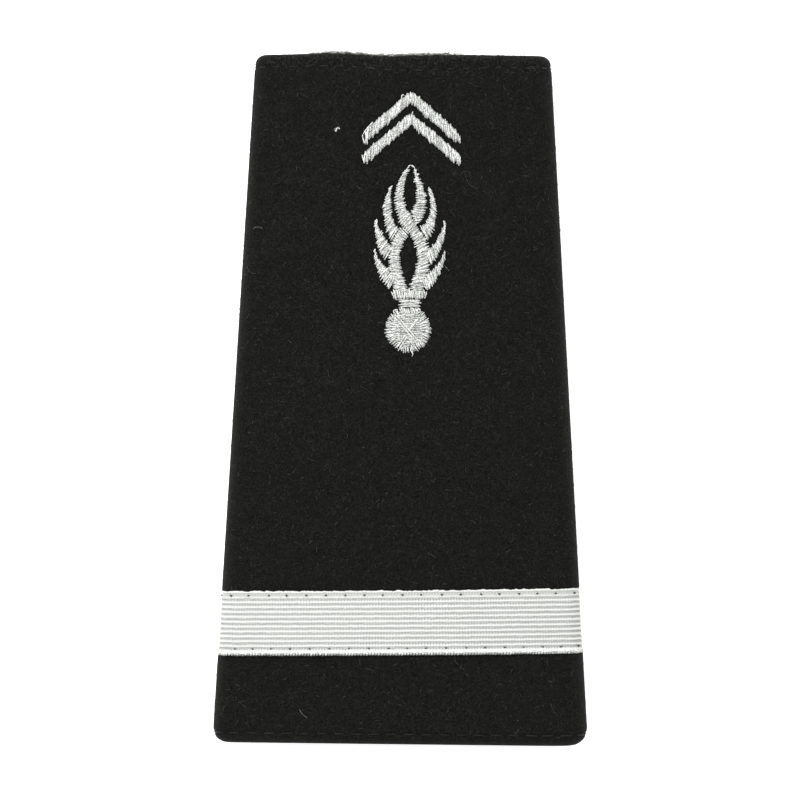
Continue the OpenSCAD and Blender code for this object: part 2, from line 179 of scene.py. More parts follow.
def skin(station, y, inset=0.0, pinch=None):
    """Point of the felt at a station and y, moved in by inset, and the felt's outward direction there.

    The pinch is how far, as a share, the ribbon draws the felt in at its sides."""
    cut = section(y)
    point, out = outline(cut, station)
    depth = min(inset, fold_radius - least_turn) if FOLD <= abs(station) <= RISE else inset
    across = point.x / cut.half
    if inset <= 0:
        sag = sagging(point.x) if out.y > 0 else 0
        line_gap = min(abs(y - wide_hem_line), abs(y - narrow_hem_line + sag))
        depth += hem_line_depth * math.exp(-(line_gap / hem_line_spread) ** 2)
        wave = 0.0
        for scale, layer, deep in face_waves:
            wave += noise.noise(Vector((point.x, y, layer)) * scale) * deep
        depth += wave * MM * max(0, out.y) ** 2
        if pinch is None:
            past_ribbon = abs(y - ribbon_slope * point.x - ribbon_low - ribbon_width / 2) - ribbon_width / 2
            pinch = min(1, max(0, -past_ribbon / pinch_run))
        point.x -= math.copysign(pinch * ribbon_pinch * abs(across) ** fade_power, across)
    point = point - depth * out
    across = point.x / cut.half
    bow = narrow_stretch + sum(
        amount * math.exp(-((point.x - middle) / spread) ** 2) for middle, spread, amount in narrow_waves
    )
    rubbed = noise.noise(Vector((point.x * rubbed_scale, 0, 5)))
    bow += rubbed_waves * rubbed * math.exp(-(across / rubbed_reach) ** 4)
    narrow_share = max(0, y / narrow_y) ** fade_power
    wide_share = max(0, -y / narrow_y) ** fade_power
    skew = wide_bow * (1 - across ** 2) - wide_skew / 2 * across
    skew += wide_right_rise * max(0, across) ** wide_right_power
    return Vector((point.x, y + bow * narrow_share + skew * wide_share, point.y)), Vector((out.x, 0, out.y))


def station_at(arc, y):
    """Station that lies arc from the middle of the front, measured round the sleeve at y."""
    left = abs(arc)
    for stretch, length in enumerate(section(y).lengths):
        if left <= length or stretch == FLAT:
            return math.copysign(stretch + min(1, left / length), arc)
        left -= length


# Points of a grid that meet lie within this distance
weld_distance = 0.001 * MM


def laid_grid(columns, rows, place, note=None):
    """A grid of that many points each way, each put at place(column, row). Edges that meet are joined.

    Where note names an attribute, place gives a point's value for it too."""
    bm = bmesh.new()
    layer = bm.verts.layers.float_vector.new(note) if note else None
    bmesh.ops.create_grid(bm, x_segments=columns - 1, y_segments=rows - 1, size=1)
    for v in bm.verts:
        column = round((v.co.x + 1) / 2 * (columns - 1))
        row = round((v.co.y + 1) / 2 * (rows - 1))
        if note:
            v.co, v[layer] = place(column, row)
        else:
            v.co = place(column, row)
    bmesh.ops.remove_doubles(bm, verts=bm.verts, dist=weld_distance)
    return bm


def finished(name, bm):
    """The mesh of a closed bmesh, smooth and facing outwards."""
    bmesh.ops.recalc_face_normals(bm, faces=bm.faces)
    for face in bm.faces:
        face.smooth = True
    mesh = bpy.data.meshes.new(name)
    bm.to_mesh(mesh)
    bm.free()
    return mesh


def placed(mesh, material):
    """An object of the mesh in the scene, under the mesh's name and in one material."""
    mesh.materials.append(material)
    made = bpy.data.objects.new(mesh.name, mesh)
    bpy.context.scene.collection.objects.link(made)
    return made


def worn(mesh, material, instead_of=None):
    """A piece that rides on the board. It can take the place of a plain solid."""
    piece = placed(mesh, material)
    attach(piece, "root")
    if instead_of:
        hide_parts(instead_of)
    return piece


# Rings lie close together where a line is sewn or the ribbon ends, and far apart elsewhere
close_rings = 0.13 * MM
far_rings = 0.8 * MM
close_reach = 0.9 * MM
lip_steps = 12
hem_steps = 5
inside_steps = 40


def sleeve_profile():
    """Rings of the sleeve as (y, inset).

    They run along its outside, round the narrow lip, back along its inside and round the wide lip."""
    outside = []
    fine_lines = (wide_hem_line, narrow_hem_line, ribbon_low, ribbon_low + ribbon_width)
    y = lip_radius - narrow_y
    while y < narrow_y - lip_radius:
        outside.append((y, 0.0))
        near = min(abs(y - line) for line in fine_lines)
        y += close_rings if near < close_reach else far_rings
    turns = [math.radians(180 / lip_steps * i) for i in range(lip_steps + 1)]
    lip = [(lip_radius * (1 - math.sin(turn)), lip_radius * (1 - math.cos(turn))) for turn in turns]
    hem_run = hem_depth - lip_radius
    hem = [(lip_radius + hem_run * i / hem_steps, hem_thickness) for i in range(1, hem_steps + 1)]
    edge_insets = (hem_thickness - hem_edge_drop, felt_thickness)
    hem_edge = [(hem_depth + run, inset) for run, inset in zip(hem_edge_runs, edge_insets)]
    mouth = lip + hem + hem_edge
    narrow = [(narrow_y - depth, inset) for depth, inset in mouth]
    wide = [(depth - narrow_y, inset) for depth, inset in reversed(mouth)]
    inside_run = sleeve_length - 2 * hem_depth - 2 * hem_edge_runs[1]
    inside = [
        (narrow[-1][0] - inside_run * i / inside_steps, felt_thickness) for i in range(1, inside_steps)
    ]
    return outside + narrow + inside + wide


stretch_steps = {FRONT: 54, FOLD: 12, RISE: 9, FLAT: 14}
one_side = [stretch + i / steps for stretch, steps in stretch_steps.items() for i in range(steps)]
stations = one_side + [FLAT + 1.0] + [-station for station in reversed(one_side)]
rings = sleeve_profile()
sleeve_bm = laid_grid(
    len(stations), len(rings), lambda column, row: skin(stations[column], *rings[row])[0]
)


def new_material(name, finish):
    """A material with the finish given, and its node tree."""
    material = bpy.data.materials.new(name)
    material.use_nodes = True
    surface = material.node_tree.nodes["Principled BSDF"]
    for setting, value in finish.items():
        surface.inputs[setting].default_value = value
    return material, material.node_tree


def node(tree, kind, inputs, **settings):
    """A shader node with its settings, and values or other nodes' outputs for its inputs."""
    made = tree.nodes.new("ShaderNode" + kind)
    for name, value in settings.items():
        setattr(made, name, value)
    for name, value in inputs.items():
        if isinstance(value, bpy.types.NodeSocket):
            tree.links.new(value, made.inputs[name])
        else:
            made.inputs[name].default_value = value
    return made


def math_node(tree, operation, *values):
    """Output of a sum on values or other nodes' outputs."""
    return node(tree, "Math", dict(enumerate(values)), operation=operation).outputs[0]


def mixed(tree, blend, first, second, share=1.0):
    """Output of two colours, of which the second is laid on the first by a share in the given way."""
    colours = {"Factor": share, 6: first, 7: second}
    return node(tree, "Mix", colours, data_type="RGBA", blend_type=blend).outputs[2]


def fractal(tree, at, scale, detail, **more):
    """Output of a noise pattern at the given places."""
    return node(tree, "TexNoise", {"Vector": at, "Scale": scale, "Detail": detail, **more}).outputs["Fac"]


def ramp(tree, factor, *stops):
    """A colour ramp through stops of (place, colour)."""
    made = node(tree, "ValToRGB", {"Fac": factor})
    elements = made.color_ramp.elements
    while len(elements) < len(stops):
        elements.new(1)
    for element, (place, colour) in zip(elements, stops):
        element.position = place
        element.color = (*colour, 1)
    return made.outputs["Color"]


def dressed(material, colour, height=None, strength=0.0, depth=0.0):
    """The material with a colour on its surface and, where a height is given, a bump of that height."""
    tree = material.node_tree
    surface = tree.nodes["Principled BSDF"]
    tree.links.new(colour, surface.inputs["Base Color"])
    if height is not None:
        bump = node(tree, "Bump", {"Height": height, "Strength": strength, "Distance": depth})
        tree.links.new(bump.outputs["Normal"], surface.inputs["Normal"])
    return material


# Shades of the felt's ground in its grain, how much they vary from place to place, and the fibres' on top
ground_shades = ((0.36, (0.0005, 0.0006, 0.0005)), (0.66, (0.0082, 0.0082, 0.0076)))
mottle_shades = ((0.3, (0.7, 0.7, 0.7)), (0.7, (1.1, 1.1, 1.08)))
fibre_shades = ((0.64, (0, 0, 0)), (0.8, (0.022, 0.022, 0.02)))
mottle_scale = 420
grain_scale = 3600
# The drawn fibres lie in these directions, in degrees, and each layer's pattern is stretched along them
fibre_turns = (12, 57, 101, 148)
fibre_size = (1 / 1100, 1 / 6500, 1 / 1500)


def felt_material():
    """Black wool felt: matted fibres that lie every way in a dull nap, mottled a little."""
    material, tree = new_material("black_felt", {
        "Roughness": 0.95, "Specular IOR Level": 0.08,
        "Sheen Weight": 0.04, "Sheen Roughness": 0.5, "Sheen Tint": (0.6, 0.6, 0.57, 1),
    })
    at = node(tree, "TexCoord", {}).outputs["Object"]
    mottle = fractal(tree, at, mottle_scale, 4, Roughness=0.6)
    grain = fractal(tree, at, grain_scale, 4, Roughness=0.7)
    fibres = None
    for turn in fibre_turns:
        laid = node(
            tree, "Mapping", {"Vector": at, "Rotation": (0, 0, math.radians(turn)), "Scale": fibre_size},
            vector_type="TEXTURE",
        )
        layer = fractal(tree, laid.outputs["Vector"], 1, 2, Distortion=1.5)
        fibres = layer if fibres is None else math_node(tree, "MAXIMUM", fibres, layer)
    mottled = mixed(
        tree, "MULTIPLY", ramp(tree, grain, *ground_shades), ramp(tree, mottle, *mottle_shades)
    )
    colour = mixed(tree, "ADD", mottled, ramp(tree, fibres, *fibre_shades))
    height = math_node(tree, "ADD", grain, fibres)
    return dressed(material, colour, height, strength=0.8, depth=0.15 * MM)


felt = worn(finished("felt_cloth", sleeve_bm), felt_material(), "felt_sleeve")
wide_round = way_round(-narrow_y + corner_length)
narrow_round = way_round(narrow_y - corner_length)


# Hem stitches: one line of lockstitch in black thread round each mouth, through the felt and the turned-in
# hem. Each stitch is a short bridge of thread that sinks into the felt at both of its ends.
hem_thread_radius = 0.11 * MM
wide_hem_pitch = 2.68 * MM
wide_hem_stitch = 1.75 * MM
narrow_hem_pitch = 2.46 * MM
narrow_hem_stitch = 1.1 * MM
# How far a stitch strays along its line in millimetres, and the ranges of its length, tilt and shade
hem_stray = 0.06
hem_lengths = (0.85, 1.1)
hem_tilt = 0.03
wide_hem_shades = (0.05, 0.6)
narrow_hem_shades = (0.4, 0.85)
# Shares along a stitch and its height there in millimetres
hem_arch = ((-0.5, -0.28), (-0.44, 0.0), (-0.25, 0.11), (0, 0.13), (0.25, 0.11), (0.44, 0.0), (0.5, -0.28))

UP = np.array((0.0, 0.0, 1.0))
rng = np.random.default_rng(11)


def unit(vectors):
    """The vectors of an array, each at length 1."""
    return vectors / np.maximum(np.linalg.norm(vectors, axis=-1, keepdims=True), 1e-12)


def thread_blank(sides, rings):
    """Mesh of one straight closed thread with a ring of points at each whole z from 0."""
    bm = bmesh.new()
    bmesh.ops.create_cone(bm, cap_ends=True, segments=sides, radius1=1, radius2=1, depth=rings - 1)
    bmesh.ops.translate(bm, vec=(0, 0, (rings - 1) / 2), verts=bm.verts)
    lengthwise = [e for e in bm.edges if abs(e.verts[0].co.z - e.verts[1].co.z) > 0.5]
    bmesh.ops.subdivide_edges(bm, edges=lengthwise, cuts=rings - 2, use_grid_fill=True)
    return finished("thread_blank", bm)


def laid_threads(name, paths, widths, heights=None, sides=5, shades=None):
    """A mesh of closed threads, one along each of the paths, which all have as many points.

    Widths and heights are half the thread's own, one for all or an array of threads by points, and heights
    that aren't given are like the widths. The yarn attribute holds the length along a thread in millimetres,
    the share across it and the thread's shade."""
    paths = np.asarray(paths, float)
    count, rings = paths.shape[:2]
    widths = np.broadcast_to(widths, (count, rings))
    heights = widths if heights is None else np.broadcast_to(heights, (count, rings))
    shades = rng.random(count) if shades is None else np.asarray(shades, float)
    blank = bpy.data.objects.new("blank", thread_blank(sides, rings))
    bpy.context.scene.collection.objects.link(blank)
    row = blank.modifiers.new("row", "ARRAY")
    row.use_relative_offset = False
    row.count = count
    mesh = bpy.data.meshes.new_from_object(blank.evaluated_get(bpy.context.evaluated_depsgraph_get()))
    mesh.name = name
    ring_co = np.array([v.co for v in blank.data.vertices])
    bpy.data.objects.remove(blank)
    ring = np.rint(ring_co[:, 2]).astype(int)

    along = unit(np.gradient(paths, axis=1))
    side = [unit(np.cross(UP, along[:, 0]))]
    for i in range(1, rings):
        turned = side[-1] - along[:, i] * np.sum(side[-1] * along[:, i], axis=1, keepdims=True)
        side.append(unit(turned))
    side = np.stack(side, axis=1)
    over = np.cross(along, side)
    points = (
        paths[:, ring]
        + side[:, ring] * (widths[:, ring] * ring_co[:, 0])[..., None]
        + over[:, ring] * (heights[:, ring] * ring_co[:, 1])[..., None]
    )
    mesh.vertices.foreach_set("co", points.astype(np.float32).ravel())

    steps = np.linalg.norm(np.diff(paths, axis=1), axis=2)
    run = np.concatenate([np.zeros((count, 1)), np.cumsum(steps, axis=1)], axis=1) / MM
    across = np.broadcast_to(ring_co[:, 0], (count, len(ring)))
    yarn = np.stack([run[:, ring], across, np.repeat(shades[:, None], len(ring), 1)], axis=2)
    mesh.attributes.new("yarn", "FLOAT_VECTOR", "POINT")
    mesh.attributes["yarn"].data.foreach_set("vector", yarn.astype(np.float32).ravel())
    mesh.update()
    return mesh


def noted(tree, attribute):
    """A mesh attribute's vector and the list of its three parts, as outputs."""
    vector = node(tree, "Attribute", {}, attribute_name=attribute).outputs["Vector"]
    return vector, node(tree, "SeparateXYZ", {"Vector": vector}).outputs[:]


# A thread's shades across its plies, with painted shade in the grooves between them, and along its painted
# glints, how far a ply leans, the glints' number in a millimetre, and how far apart along the thread the
# patterns of two shades begin
ply_groove_painted_shades = ((0.0, (0.56, 0.57, 0.55)), (0.4, (1, 1, 1)))
glint_shades = ((0.38, (0.52, 0.53, 0.51)), (0.56, (1, 1, 1)))
ply_lean = 2.2
glint_scale = 3.2
shade_shift = 40.0


def thread_material(name, shades, twist, roughness, specular, sheen=0.0):
    """Plied thread: a ply comes round once in each twist, in millimetres, with a groove beside it
    darkened by painted shade.

    The shades are stops for the yarn's shade, from the dullest thread to the brightest."""
    material, tree = new_material(name, {
        "Roughness": roughness, "Specular IOR Level": specular, "Sheen Weight": sheen, "Sheen Roughness": 0.4,
    })
    along, across, shade = noted(tree, "yarn")[1]
    offset = math_node(tree, "MULTIPLY_ADD", shade, shade_shift, along)
    wound = math_node(tree, "MULTIPLY", offset, 2 * math.pi / twist)
    plies = math_node(tree, "SINE", math_node(tree, "MULTIPLY_ADD", across, ply_lean, wound))
    glint_at = node(tree, "CombineXYZ", {"X": along, "Y": offset}).outputs[0]
    glints = fractal(tree, glint_at, glint_scale, 1)
    # The grooves between the plies are darkened: painted shade
    colour = mixed(tree, "MULTIPLY", ramp(tree, shade, *shades), ramp(tree, plies, *ply_groove_painted_shades))
    colour = mixed(tree, "MULTIPLY", colour, ramp(tree, glints, *glint_shades))
    return dressed(material, colour, plies, strength=0.7, depth=0.03 * MM)


def hem_paths(line, pitch, stitch):
    """Stitches right round the sleeve along a line at y."""
    around = way_round(line)
    count = round(around / pitch)
    found = []
    for i in range(count):
        middle = (i / count - 0.5) * around + rng.normal(0, hem_stray) * MM
        long = stitch * rng.uniform(*hem_lengths)
        tilt = rng.normal(0, hem_tilt)
        path = []
        for share, lift in hem_arch:
            arc = middle + share * long
            arc = (arc + around / 2) % around - around / 2
            station = station_at(arc, line)
            point, out = skin(station, line)
            if line == narrow_hem_line and out.z > 0:
                point, out = skin(station, line - sagging(point.x))
            path.append(point + out * lift * MM + Vector((0, tilt * share * long, 0)))
        found.append(path)
    return found


black_shades = ((0, (0.004, 0.004, 0.004)), (0.6, (0.015, 0.015, 0.014)), (1, (0.04, 0.04, 0.038)))
black_thread = thread_material("black_thread", black_shades, twist=0.5, roughness=0.6, specular=0.2)
wide_stitches = hem_paths(wide_hem_line, wide_hem_pitch, wide_hem_stitch)
narrow_stitches = hem_paths(narrow_hem_line, narrow_hem_pitch, narrow_hem_stitch)
hem_shades = [*rng.uniform(*wide_hem_shades, len(wide_stitches))]
hem_shades += [*rng.uniform(*narrow_hem_shades, len(narrow_stitches))]
hem_mesh = laid_threads("hem_stitches", wide_stitches + narrow_stitches, hem_thread_radius, shades=hem_shades)
worn(hem_mesh, black_thread)


# Rank ribbon: white woven ribbon with thirteen ribs along it, laid round the front and both side folds. Its
# weft runs over the ribs in small picks, which bite like teeth into the rib below each groove. The weft's
# turns stand off the lower edge as a row of picots.
ribbon_thickness = 0.35 * MM
rib_height = 0.3 * MM
ribbon_wrap = 2 * MM
seat_gap = 0.06 * MM
pick_pitch = 0.447 * MM
pick_steps = 4
tooth_depth = 0.25 * MM
picot_depth = 0.3 * MM
picot_height = 0.11 * MM
# Grooves between the ribs, from the upper edge: a wide one near it and eleven narrow ones below
wide_groove = 0.615 * MM
wide_groove_half = 0.235 * MM
wide_groove_floor = 0.2
groove_half = 0.055 * MM
groove_slope = 0.15 * MM
first_groove = 1.31 * MM
groove_pitch = 0.7485 * MM
groove_count = 11
groove_wander = 0.06 * MM
wander_reach = 5
ribbon_rows = 104
# The picks wander by this share of a pick, over this many steps, and dip by a share of a rib between them
pick_wander = 0.4
pick_wander_reach = 60
pick_dip = 0.16
# How far the middle of a groove's line lies below the groove, in pitches
line_below = 0.35
# A tooth's size, how much that changes, and over how many steps
tooth_size = (1.05, 0.45, 3)
# A rib's height at the ribbon's edges, and the run over which it grows to the full one
edge_height = 0.55
edge_run = 0.2 * MM
# How far in the upper edge lies, in millimetres, and its waves: amount, line of the noise and reach in steps
top_edge_in = 0.1
top_edge_waves = ((0.12, 20, 9), (0.14, 21, 2.5))
top_edge_run = 0.5 * MM
# The notches' reach below a groove, in millimetres, how it falls off from a notch's middle to its sides, how
# many picks they lean back in each millimetre down, and the painted shade with which they darken the white
# from their ends upwards
notch_reach = 0.43
notch_fall = (2.3, 3.2)
notch_lean = 0.5
notch_painted_shades = (
    (0.0, (1, 1, 1)), (0.05, (0.58, 0.59, 0.57)), (0.23, (0.68, 0.69, 0.67)), (0.36, (0.86, 0.86, 0.85)),
)

ribbon_middle = ribbon_low + ribbon_width / 2
ribbon_cut = section(ribbon_middle)
ribbon_reach = ribbon_cut.lengths[FRONT] + ribbon_cut.lengths[FOLD] + ribbon_wrap
ribbon_picks = round(2 * ribbon_reach / pick_pitch)
grooves = [(wide_groove, wide_groove_half, wide_groove_floor)]
grooves += [(first_groove + groove_pitch * i, groove_half, 0) for i in range(groove_count)]


def uneven(column, line, reach):
    """A smooth random value round 0 at a column on a line of the ribbon, which varies within that reach."""
    return noise.noise(Vector((column / reach, line, 7.3)))


def picks_at(column, line):
    """The count of picks up to a column, which wanders a little on each line."""
    return column / pick_steps + pick_wander * uneven(column, line, pick_wander_reach)


def line_at(from_top):
    """Number of the narrow groove whose line a place is on, from just above it to most of a pitch below."""
    return round((from_top - first_groove) / groove_pitch - line_below)


def tooth(column, line, below):
    """How far a pick's tooth cuts into the rib, as a share, at a distance below the groove."""
    size, change, reach = tooth_size
    phase = (picks_at(column, line) + notch_lean * below / MM) % 1
    return (1 - abs(2 * phase - 1)) * (size + change * uneven(column, line + 0.5, reach))


def rib_share(column, from_top):
    """Share of the rib's height, from 0 in a groove to 1 on a rib."""
    share = 1.0
    for line, (middle, half, floor) in enumerate(grooves):
        gap = from_top - middle
        if abs(gap) > half + tooth_depth * 2:
            continue
        if gap > 0:
            gap -= tooth(column, line, gap) * tooth_depth
        past = max(0, abs(gap) - half) if gap > -half else -gap - half
        share = min(share, floor + past / groove_slope)
    edge = min(from_top, ribbon_width - picot_depth - from_top)
    share = max(0, min(1, share, edge_height + edge / edge_run))
    return share * (2 - share)


def ribbon_point(column, row):
    """Point of the ribbon and its weave: the count of picks, millimetres from the upper edge, and height.

    The first row and the last are its underside, and the others run from its lower edge to its upper one."""
    _, station, middle_x = ribbon_columns[column]
    share = wander = 0.0
    waves = [amount * uneven(column, line, reach) for amount, line, reach in top_edge_waves]
    top_wave = sum(waves, top_edge_in) * MM
    if row in (0, ribbon_rows + 2):
        from_top, height = max(0.0, top_wave), 0.0
    elif row == 1:
        from_top, height = ribbon_width - picot_depth, 0.0
    else:
        from_top = (ribbon_width - picot_depth) * (1 - (row - 2) / (ribbon_rows - 1))
        wander = groove_wander * uneven(column, line_at(from_top) + 0.25, wander_reach)
        pick = 1 - pick_dip * abs(math.cos(math.pi * picks_at(column, 5)))
        share = rib_share(column, from_top - wander) * pick
        height = ribbon_thickness + rib_height * share
        from_top += top_wave * max(0, 1 - from_top / top_edge_run)
    y = ribbon_low + ribbon_width - from_top
    point, out = skin(station, y + ribbon_slope * middle_x, pinch=1)
    picks = picks_at(column, line_at(from_top) + 1)
    return point + out * (seat_gap + height), Vector((picks, (from_top - wander) / MM, share))


ribbon_columns = []
for column in range(ribbon_picks * pick_steps + 1):
    arc = (column / (ribbon_picks * pick_steps) * 2 - 1) * ribbon_reach
    station = station_at(arc, ribbon_middle)
    ribbon_columns.append((arc, station, skin(station, ribbon_middle)[0].x))
ribbon_bm = laid_grid(len(ribbon_columns), ribbon_rows + 3, ribbon_point, note="weave")
open_edges = [e for e in ribbon_bm.edges if e.is_boundary]
bmesh.ops.holes_fill(ribbon_bm, edges=open_edges)


# Shades of the white from the bottom of a groove to the top of a rib, darker lower down as painted shade
# in the grooves and on the ribs' slopes, over its fine wefts and its uneven yarns, and over the bars in
# the wide groove
groove_painted_shades = ((0.0, (0.34, 0.35, 0.33)), (0.5, (0.5, 0.51, 0.49)), (0.9, (0.62, 0.63, 0.61)))
weft_shades = ((0.0, (0.93, 0.93, 0.93)), (0.6, (1, 1, 1)))
yarn_shades = ((0.36, (0.87, 0.87, 0.87)), (0.6, (1, 1, 1)))
bar_shades = ((0.0, (0.75, 0.76, 0.74)), (0.8, (0.98, 0.99, 0.97)))
wefts_in_pick = 3
yarn_scale = (1.3, 6, 0)
# The strip with the narrow grooves: its middle and half width, in their pitches
ribbed_strip = (5.15, 5.6)


def ribbon_material():
    """White glossy weft over ribs, with painted shade down in the grooves and in the notches between the
    picks' teeth.
    """
    finish = {"Roughness": 0.5, "Specular IOR Level": 0.3, "Sheen Weight": 0.1}
    material, tree = new_material("white_ribbon", finish)
    weave, (picks, from_top, height) = noted(tree, "weave")
    spun = node(tree, "Mapping", {"Vector": weave, "Scale": yarn_scale}).outputs["Vector"]
    yarns = fractal(tree, spun, 1, 2)
    wefts = math_node(tree, "SINE", math_node(tree, "MULTIPLY", picks, 2 * math.pi * wefts_in_pick))
    # A notch is deepest half way between two picks. Below is millimetres down from the groove above.
    rows_down = math_node(tree, "MULTIPLY_ADD", from_top, MM / groove_pitch, -first_groove / groove_pitch)
    below = math_node(tree, "MULTIPLY", math_node(tree, "FRACT", rows_down), groove_pitch / MM)
    leaning = math_node(tree, "FRACT", math_node(tree, "MULTIPLY_ADD", below, notch_lean, picks))
    aside = math_node(tree, "ABSOLUTE", math_node(tree, "MULTIPLY_ADD", leaning, 2.0, -1.0))
    start, fall = notch_fall
    reach = math_node(tree, "MULTIPLY_ADD", aside, -fall * notch_reach, start * notch_reach)
    reach = math_node(tree, "MINIMUM", reach, notch_reach)
    # Painted shade in the hollows between the picks' teeth
    notches = ramp(tree, math_node(tree, "SUBTRACT", reach, below), *notch_painted_shades)
    bars = math_node(tree, "SINE", math_node(tree, "MULTIPLY", picks, 2 * math.pi))
    bars = ramp(tree, bars, *bar_shades)
    # The notches' painted shade and the bars keep to their strips of the ribbon, and leave the rest white
    white = (1, 1, 1, 1)
    middle, half = (share * groove_pitch / MM for share in ribbed_strip)
    ribbed = math_node(tree, "COMPARE", from_top, first_groove / MM + middle, half)
    in_wide_groove = math_node(tree, "COMPARE", from_top, wide_groove / MM, wide_groove_half / MM)
    # The white is darker where the weave lies lower: painted shade in the grooves and on the ribs' slopes
    colour = ramp(tree, height, *groove_painted_shades)
    for layer in (
        ramp(tree, wefts, *weft_shades), mixed(tree, "MIX", white, notches, ribbed),
        ramp(tree, yarns, *yarn_shades), mixed(tree, "MIX", white, bars, in_wide_groove),
    ):
        colour = mixed(tree, "MULTIPLY", colour, layer)
    return dressed(material, colour, wefts, strength=0.4, depth=0.02 * MM)


# The turn of a picot: shares of its reach out and of a pick aside, its height and half width in millimetres
picot_turn = (
    (-0.9, 0.5, 0.44, 0.17), (-0.35, 0.36, 0.6, 0.17), (0.2, 0.2, 0.6, 0.155), (0.65, 0.05, 0.53, 0.13),
    (1.0, -0.1, 0.38, 0.085),
)
picot_reaches = (0.8, 1.15)


def picot_paths():
    """Turns of the weft along the ribbon's lower edge, one to each pick, each a small loop of thread."""
    found = []
    for column in range(pick_steps // 2, len(ribbon_columns) - 1, pick_steps):
        arc, _, middle_x = ribbon_columns[column]
        reach = picot_depth * rng.uniform(*picot_reaches)
        path = []
        for out_share, aside, height, _ in picot_turn:
            y = ribbon_low + picot_depth - reach * out_share
            turned = station_at(arc + aside * pick_pitch, ribbon_middle)
            point, out = skin(turned, y + ribbon_slope * middle_x, pinch=1)
            path.append(point + out * (seat_gap + height * MM))
        found.append(path)
    return found


worn(finished("ribbon_weave", ribbon_bm), ribbon_material(), "rank_ribbon")
picot_thread = thread_material(
    "picot_thread", ((0, (0.7, 0.71, 0.69)), (1, (0.95, 0.96, 0.94))), twist=0.3, roughness=0.5, specular=0.3
)
picot_widths = [turn[3] * MM for turn in picot_turn]
picot_mesh = laid_threads("ribbon_picots", picot_paths(), picot_widths, picot_height)
worn(picot_mesh, picot_thread)


# Tacking stitches: black sewing thread that holds the ribbon to the felt, in two rows along the ribbon's
# highest and lowest grooves. Only a dot of each stitch shows, because it is pulled down into the weave.
tack_radius = 0.114 * MM
tack_stitch = 0.15 * MM
tack_height = ribbon_thickness + 0.25 * MM
# How far a stitch strays along its row in millimetres, and the ranges of its length, tilt and shade
tack_stray = 0.08
tack_lengths = (0.8, 1.3)
tack_tilt = 0.35
tack_shades = (0, 0.6)
# Rows: distance from the ribbon's upper edge, the first stitch's place along it, their pitch and number
tack_rows = ((0.76 * MM, -29.5 * MM, 2.98 * MM, 21), (8.95 * MM, -25.95 * MM, 3 * MM, 20))
tack_arch = ((-0.5, -0.2), (-0.34, 0.0), (-0.17, 0.08), (0, 0.1), (0.17, 0.08), (0.34, 0.0), (0.5, -0.2))


def tack_paths():
    """Stitches from one end of each row to the other, on the front and on round both folds."""
    found = []
    for from_top, start, pitch, count in tack_rows:
        y = ribbon_low + ribbon_width - from_top
        for i in range(count):
            middle = start + i * pitch + rng.normal(0, tack_stray) * MM
            long = tack_stitch * rng.uniform(*tack_lengths)
            tilt = rng.normal(0, tack_tilt)
            path = []
            for share, lift in tack_arch:
                station = station_at(middle + share * long, y)
                slope_y = ribbon_slope * skin(station, y)[0].x
                point, out = skin(station, y + slope_y + tilt * share * long, pinch=1)
                path.append(point + out * (seat_gap + tack_height + lift * MM))
            found.append(path)
    return found


tacks = tack_paths()
shades = rng.uniform(*tack_shades, len(tacks))
worn(laid_threads("tacking_stitches", tacks, tack_radius, shades=shades), black_thread)


# Chevrons: two bands of satin stitch in white rayon thread. Padding threads along a band pad it, and are
# darker with painted shade where the stitches cover them. The stitches cross over them from hole to hole,
# so two stitches share each hole and the edges look toothed.
satin_radius = 0.09 * MM
satin_height = 0.8 * MM
full_width = 1.6 * MM
thin_height = 0.45
hole_pitch = 0.37 * MM
# How far the holes stray from the two edges, in an even band and in a chevron, where the feet stray most
even_ragged = (0.1 * MM, 0.1 * MM)
chevron_ragged = (0.12 * MM, 0.18 * MM)
chevron_point_y = narrow_y - 5.7 * MM
chevron_shift = 1.25 * MM
chevron_half_span = 7.5 * MM
chevron_arm = 1.78 * MM
chevron_pitch = 3.45 * MM
chevron_drops = {"chevron_upper": 6.6 * MM, "chevron_lower": 6.35 * MM}
# How far the stitches lean outwards at their feet, as a share of the half span. The last ones at the left end
# (-1) and the right end (1) turn in again, their tops drop and their feet rise to round the band off.
stitch_lean = 0.025
end_turn = {-1: 0.07, 1: 0.02}
end_drop = {-1: 0.1 * MM, 1: 0.4 * MM}
end_rise = {-1: 0.4 * MM, 1: 0.7 * MM}
# The share of a side that its end takes up, the share over which the lean grows, and the point's blunt share
end_share = 0.1
lean_run = 0.09
blunt_point = 0.035
chevron_steps = 20

# Shares of the way across a band and of its height, for each point of a stitch
arch = (
    (0, -0.35), (0.03, 0.1), (0.1, 0.52), (0.24, 0.83), (0.4, 0.89), (0.5, 0.9), (0.6, 0.89), (0.76, 0.83),
    (0.9, 0.52), (0.97, 0.1), (1, -0.35),
)
arch_top = max(lift for across, lift in arch)
# How far a stitch bows and wobbles aside, and how it is caught down on a wide band: the share of stitches,
# the band's least width, the places across it and the height there
stitch_bow = 0.045
stitch_wobble = 0.02 * MM
caught_share = 0.5
caught_width = 1.1 * MM
caught_places = (0.38, 0.62)
caught_height = 0.55
# How a band's stitches vary: holes along it in pitches, the share that pass over a hole, heights, thicknesses
# and shades. The edges also wander, by a share of their stray, over some holes. A thread lies a little flat.
hole_stray = 0.13
wander_holes = 5
wander_share = 0.3
passing_share = 0.15
stitch_heights = (0.78, 1.08)
stitch_sizes = (0.8, 1.15)
stitch_shades = (0.15, 1)
stitch_flatness = 0.85
# Padding threads under the stitches: shares across the band, half width, height of their middles, and run
padding_across = (0.3, 0.5, 0.7)
padding_width = 0.19
padding_height = 0.33
padding_run = (0.05, 0.95)
# Rows of a band for each row of its table, on a smooth curve
finer_rows = 16


def front_z(x, y):
    """Height of the felt's front at x and y."""
    return skin(x / section(y).front_end, y)[0].z


def bow(share):
    """Share of its full rise that a bowed thread has at a share of its length."""
    return 4 * share * (1 - share)


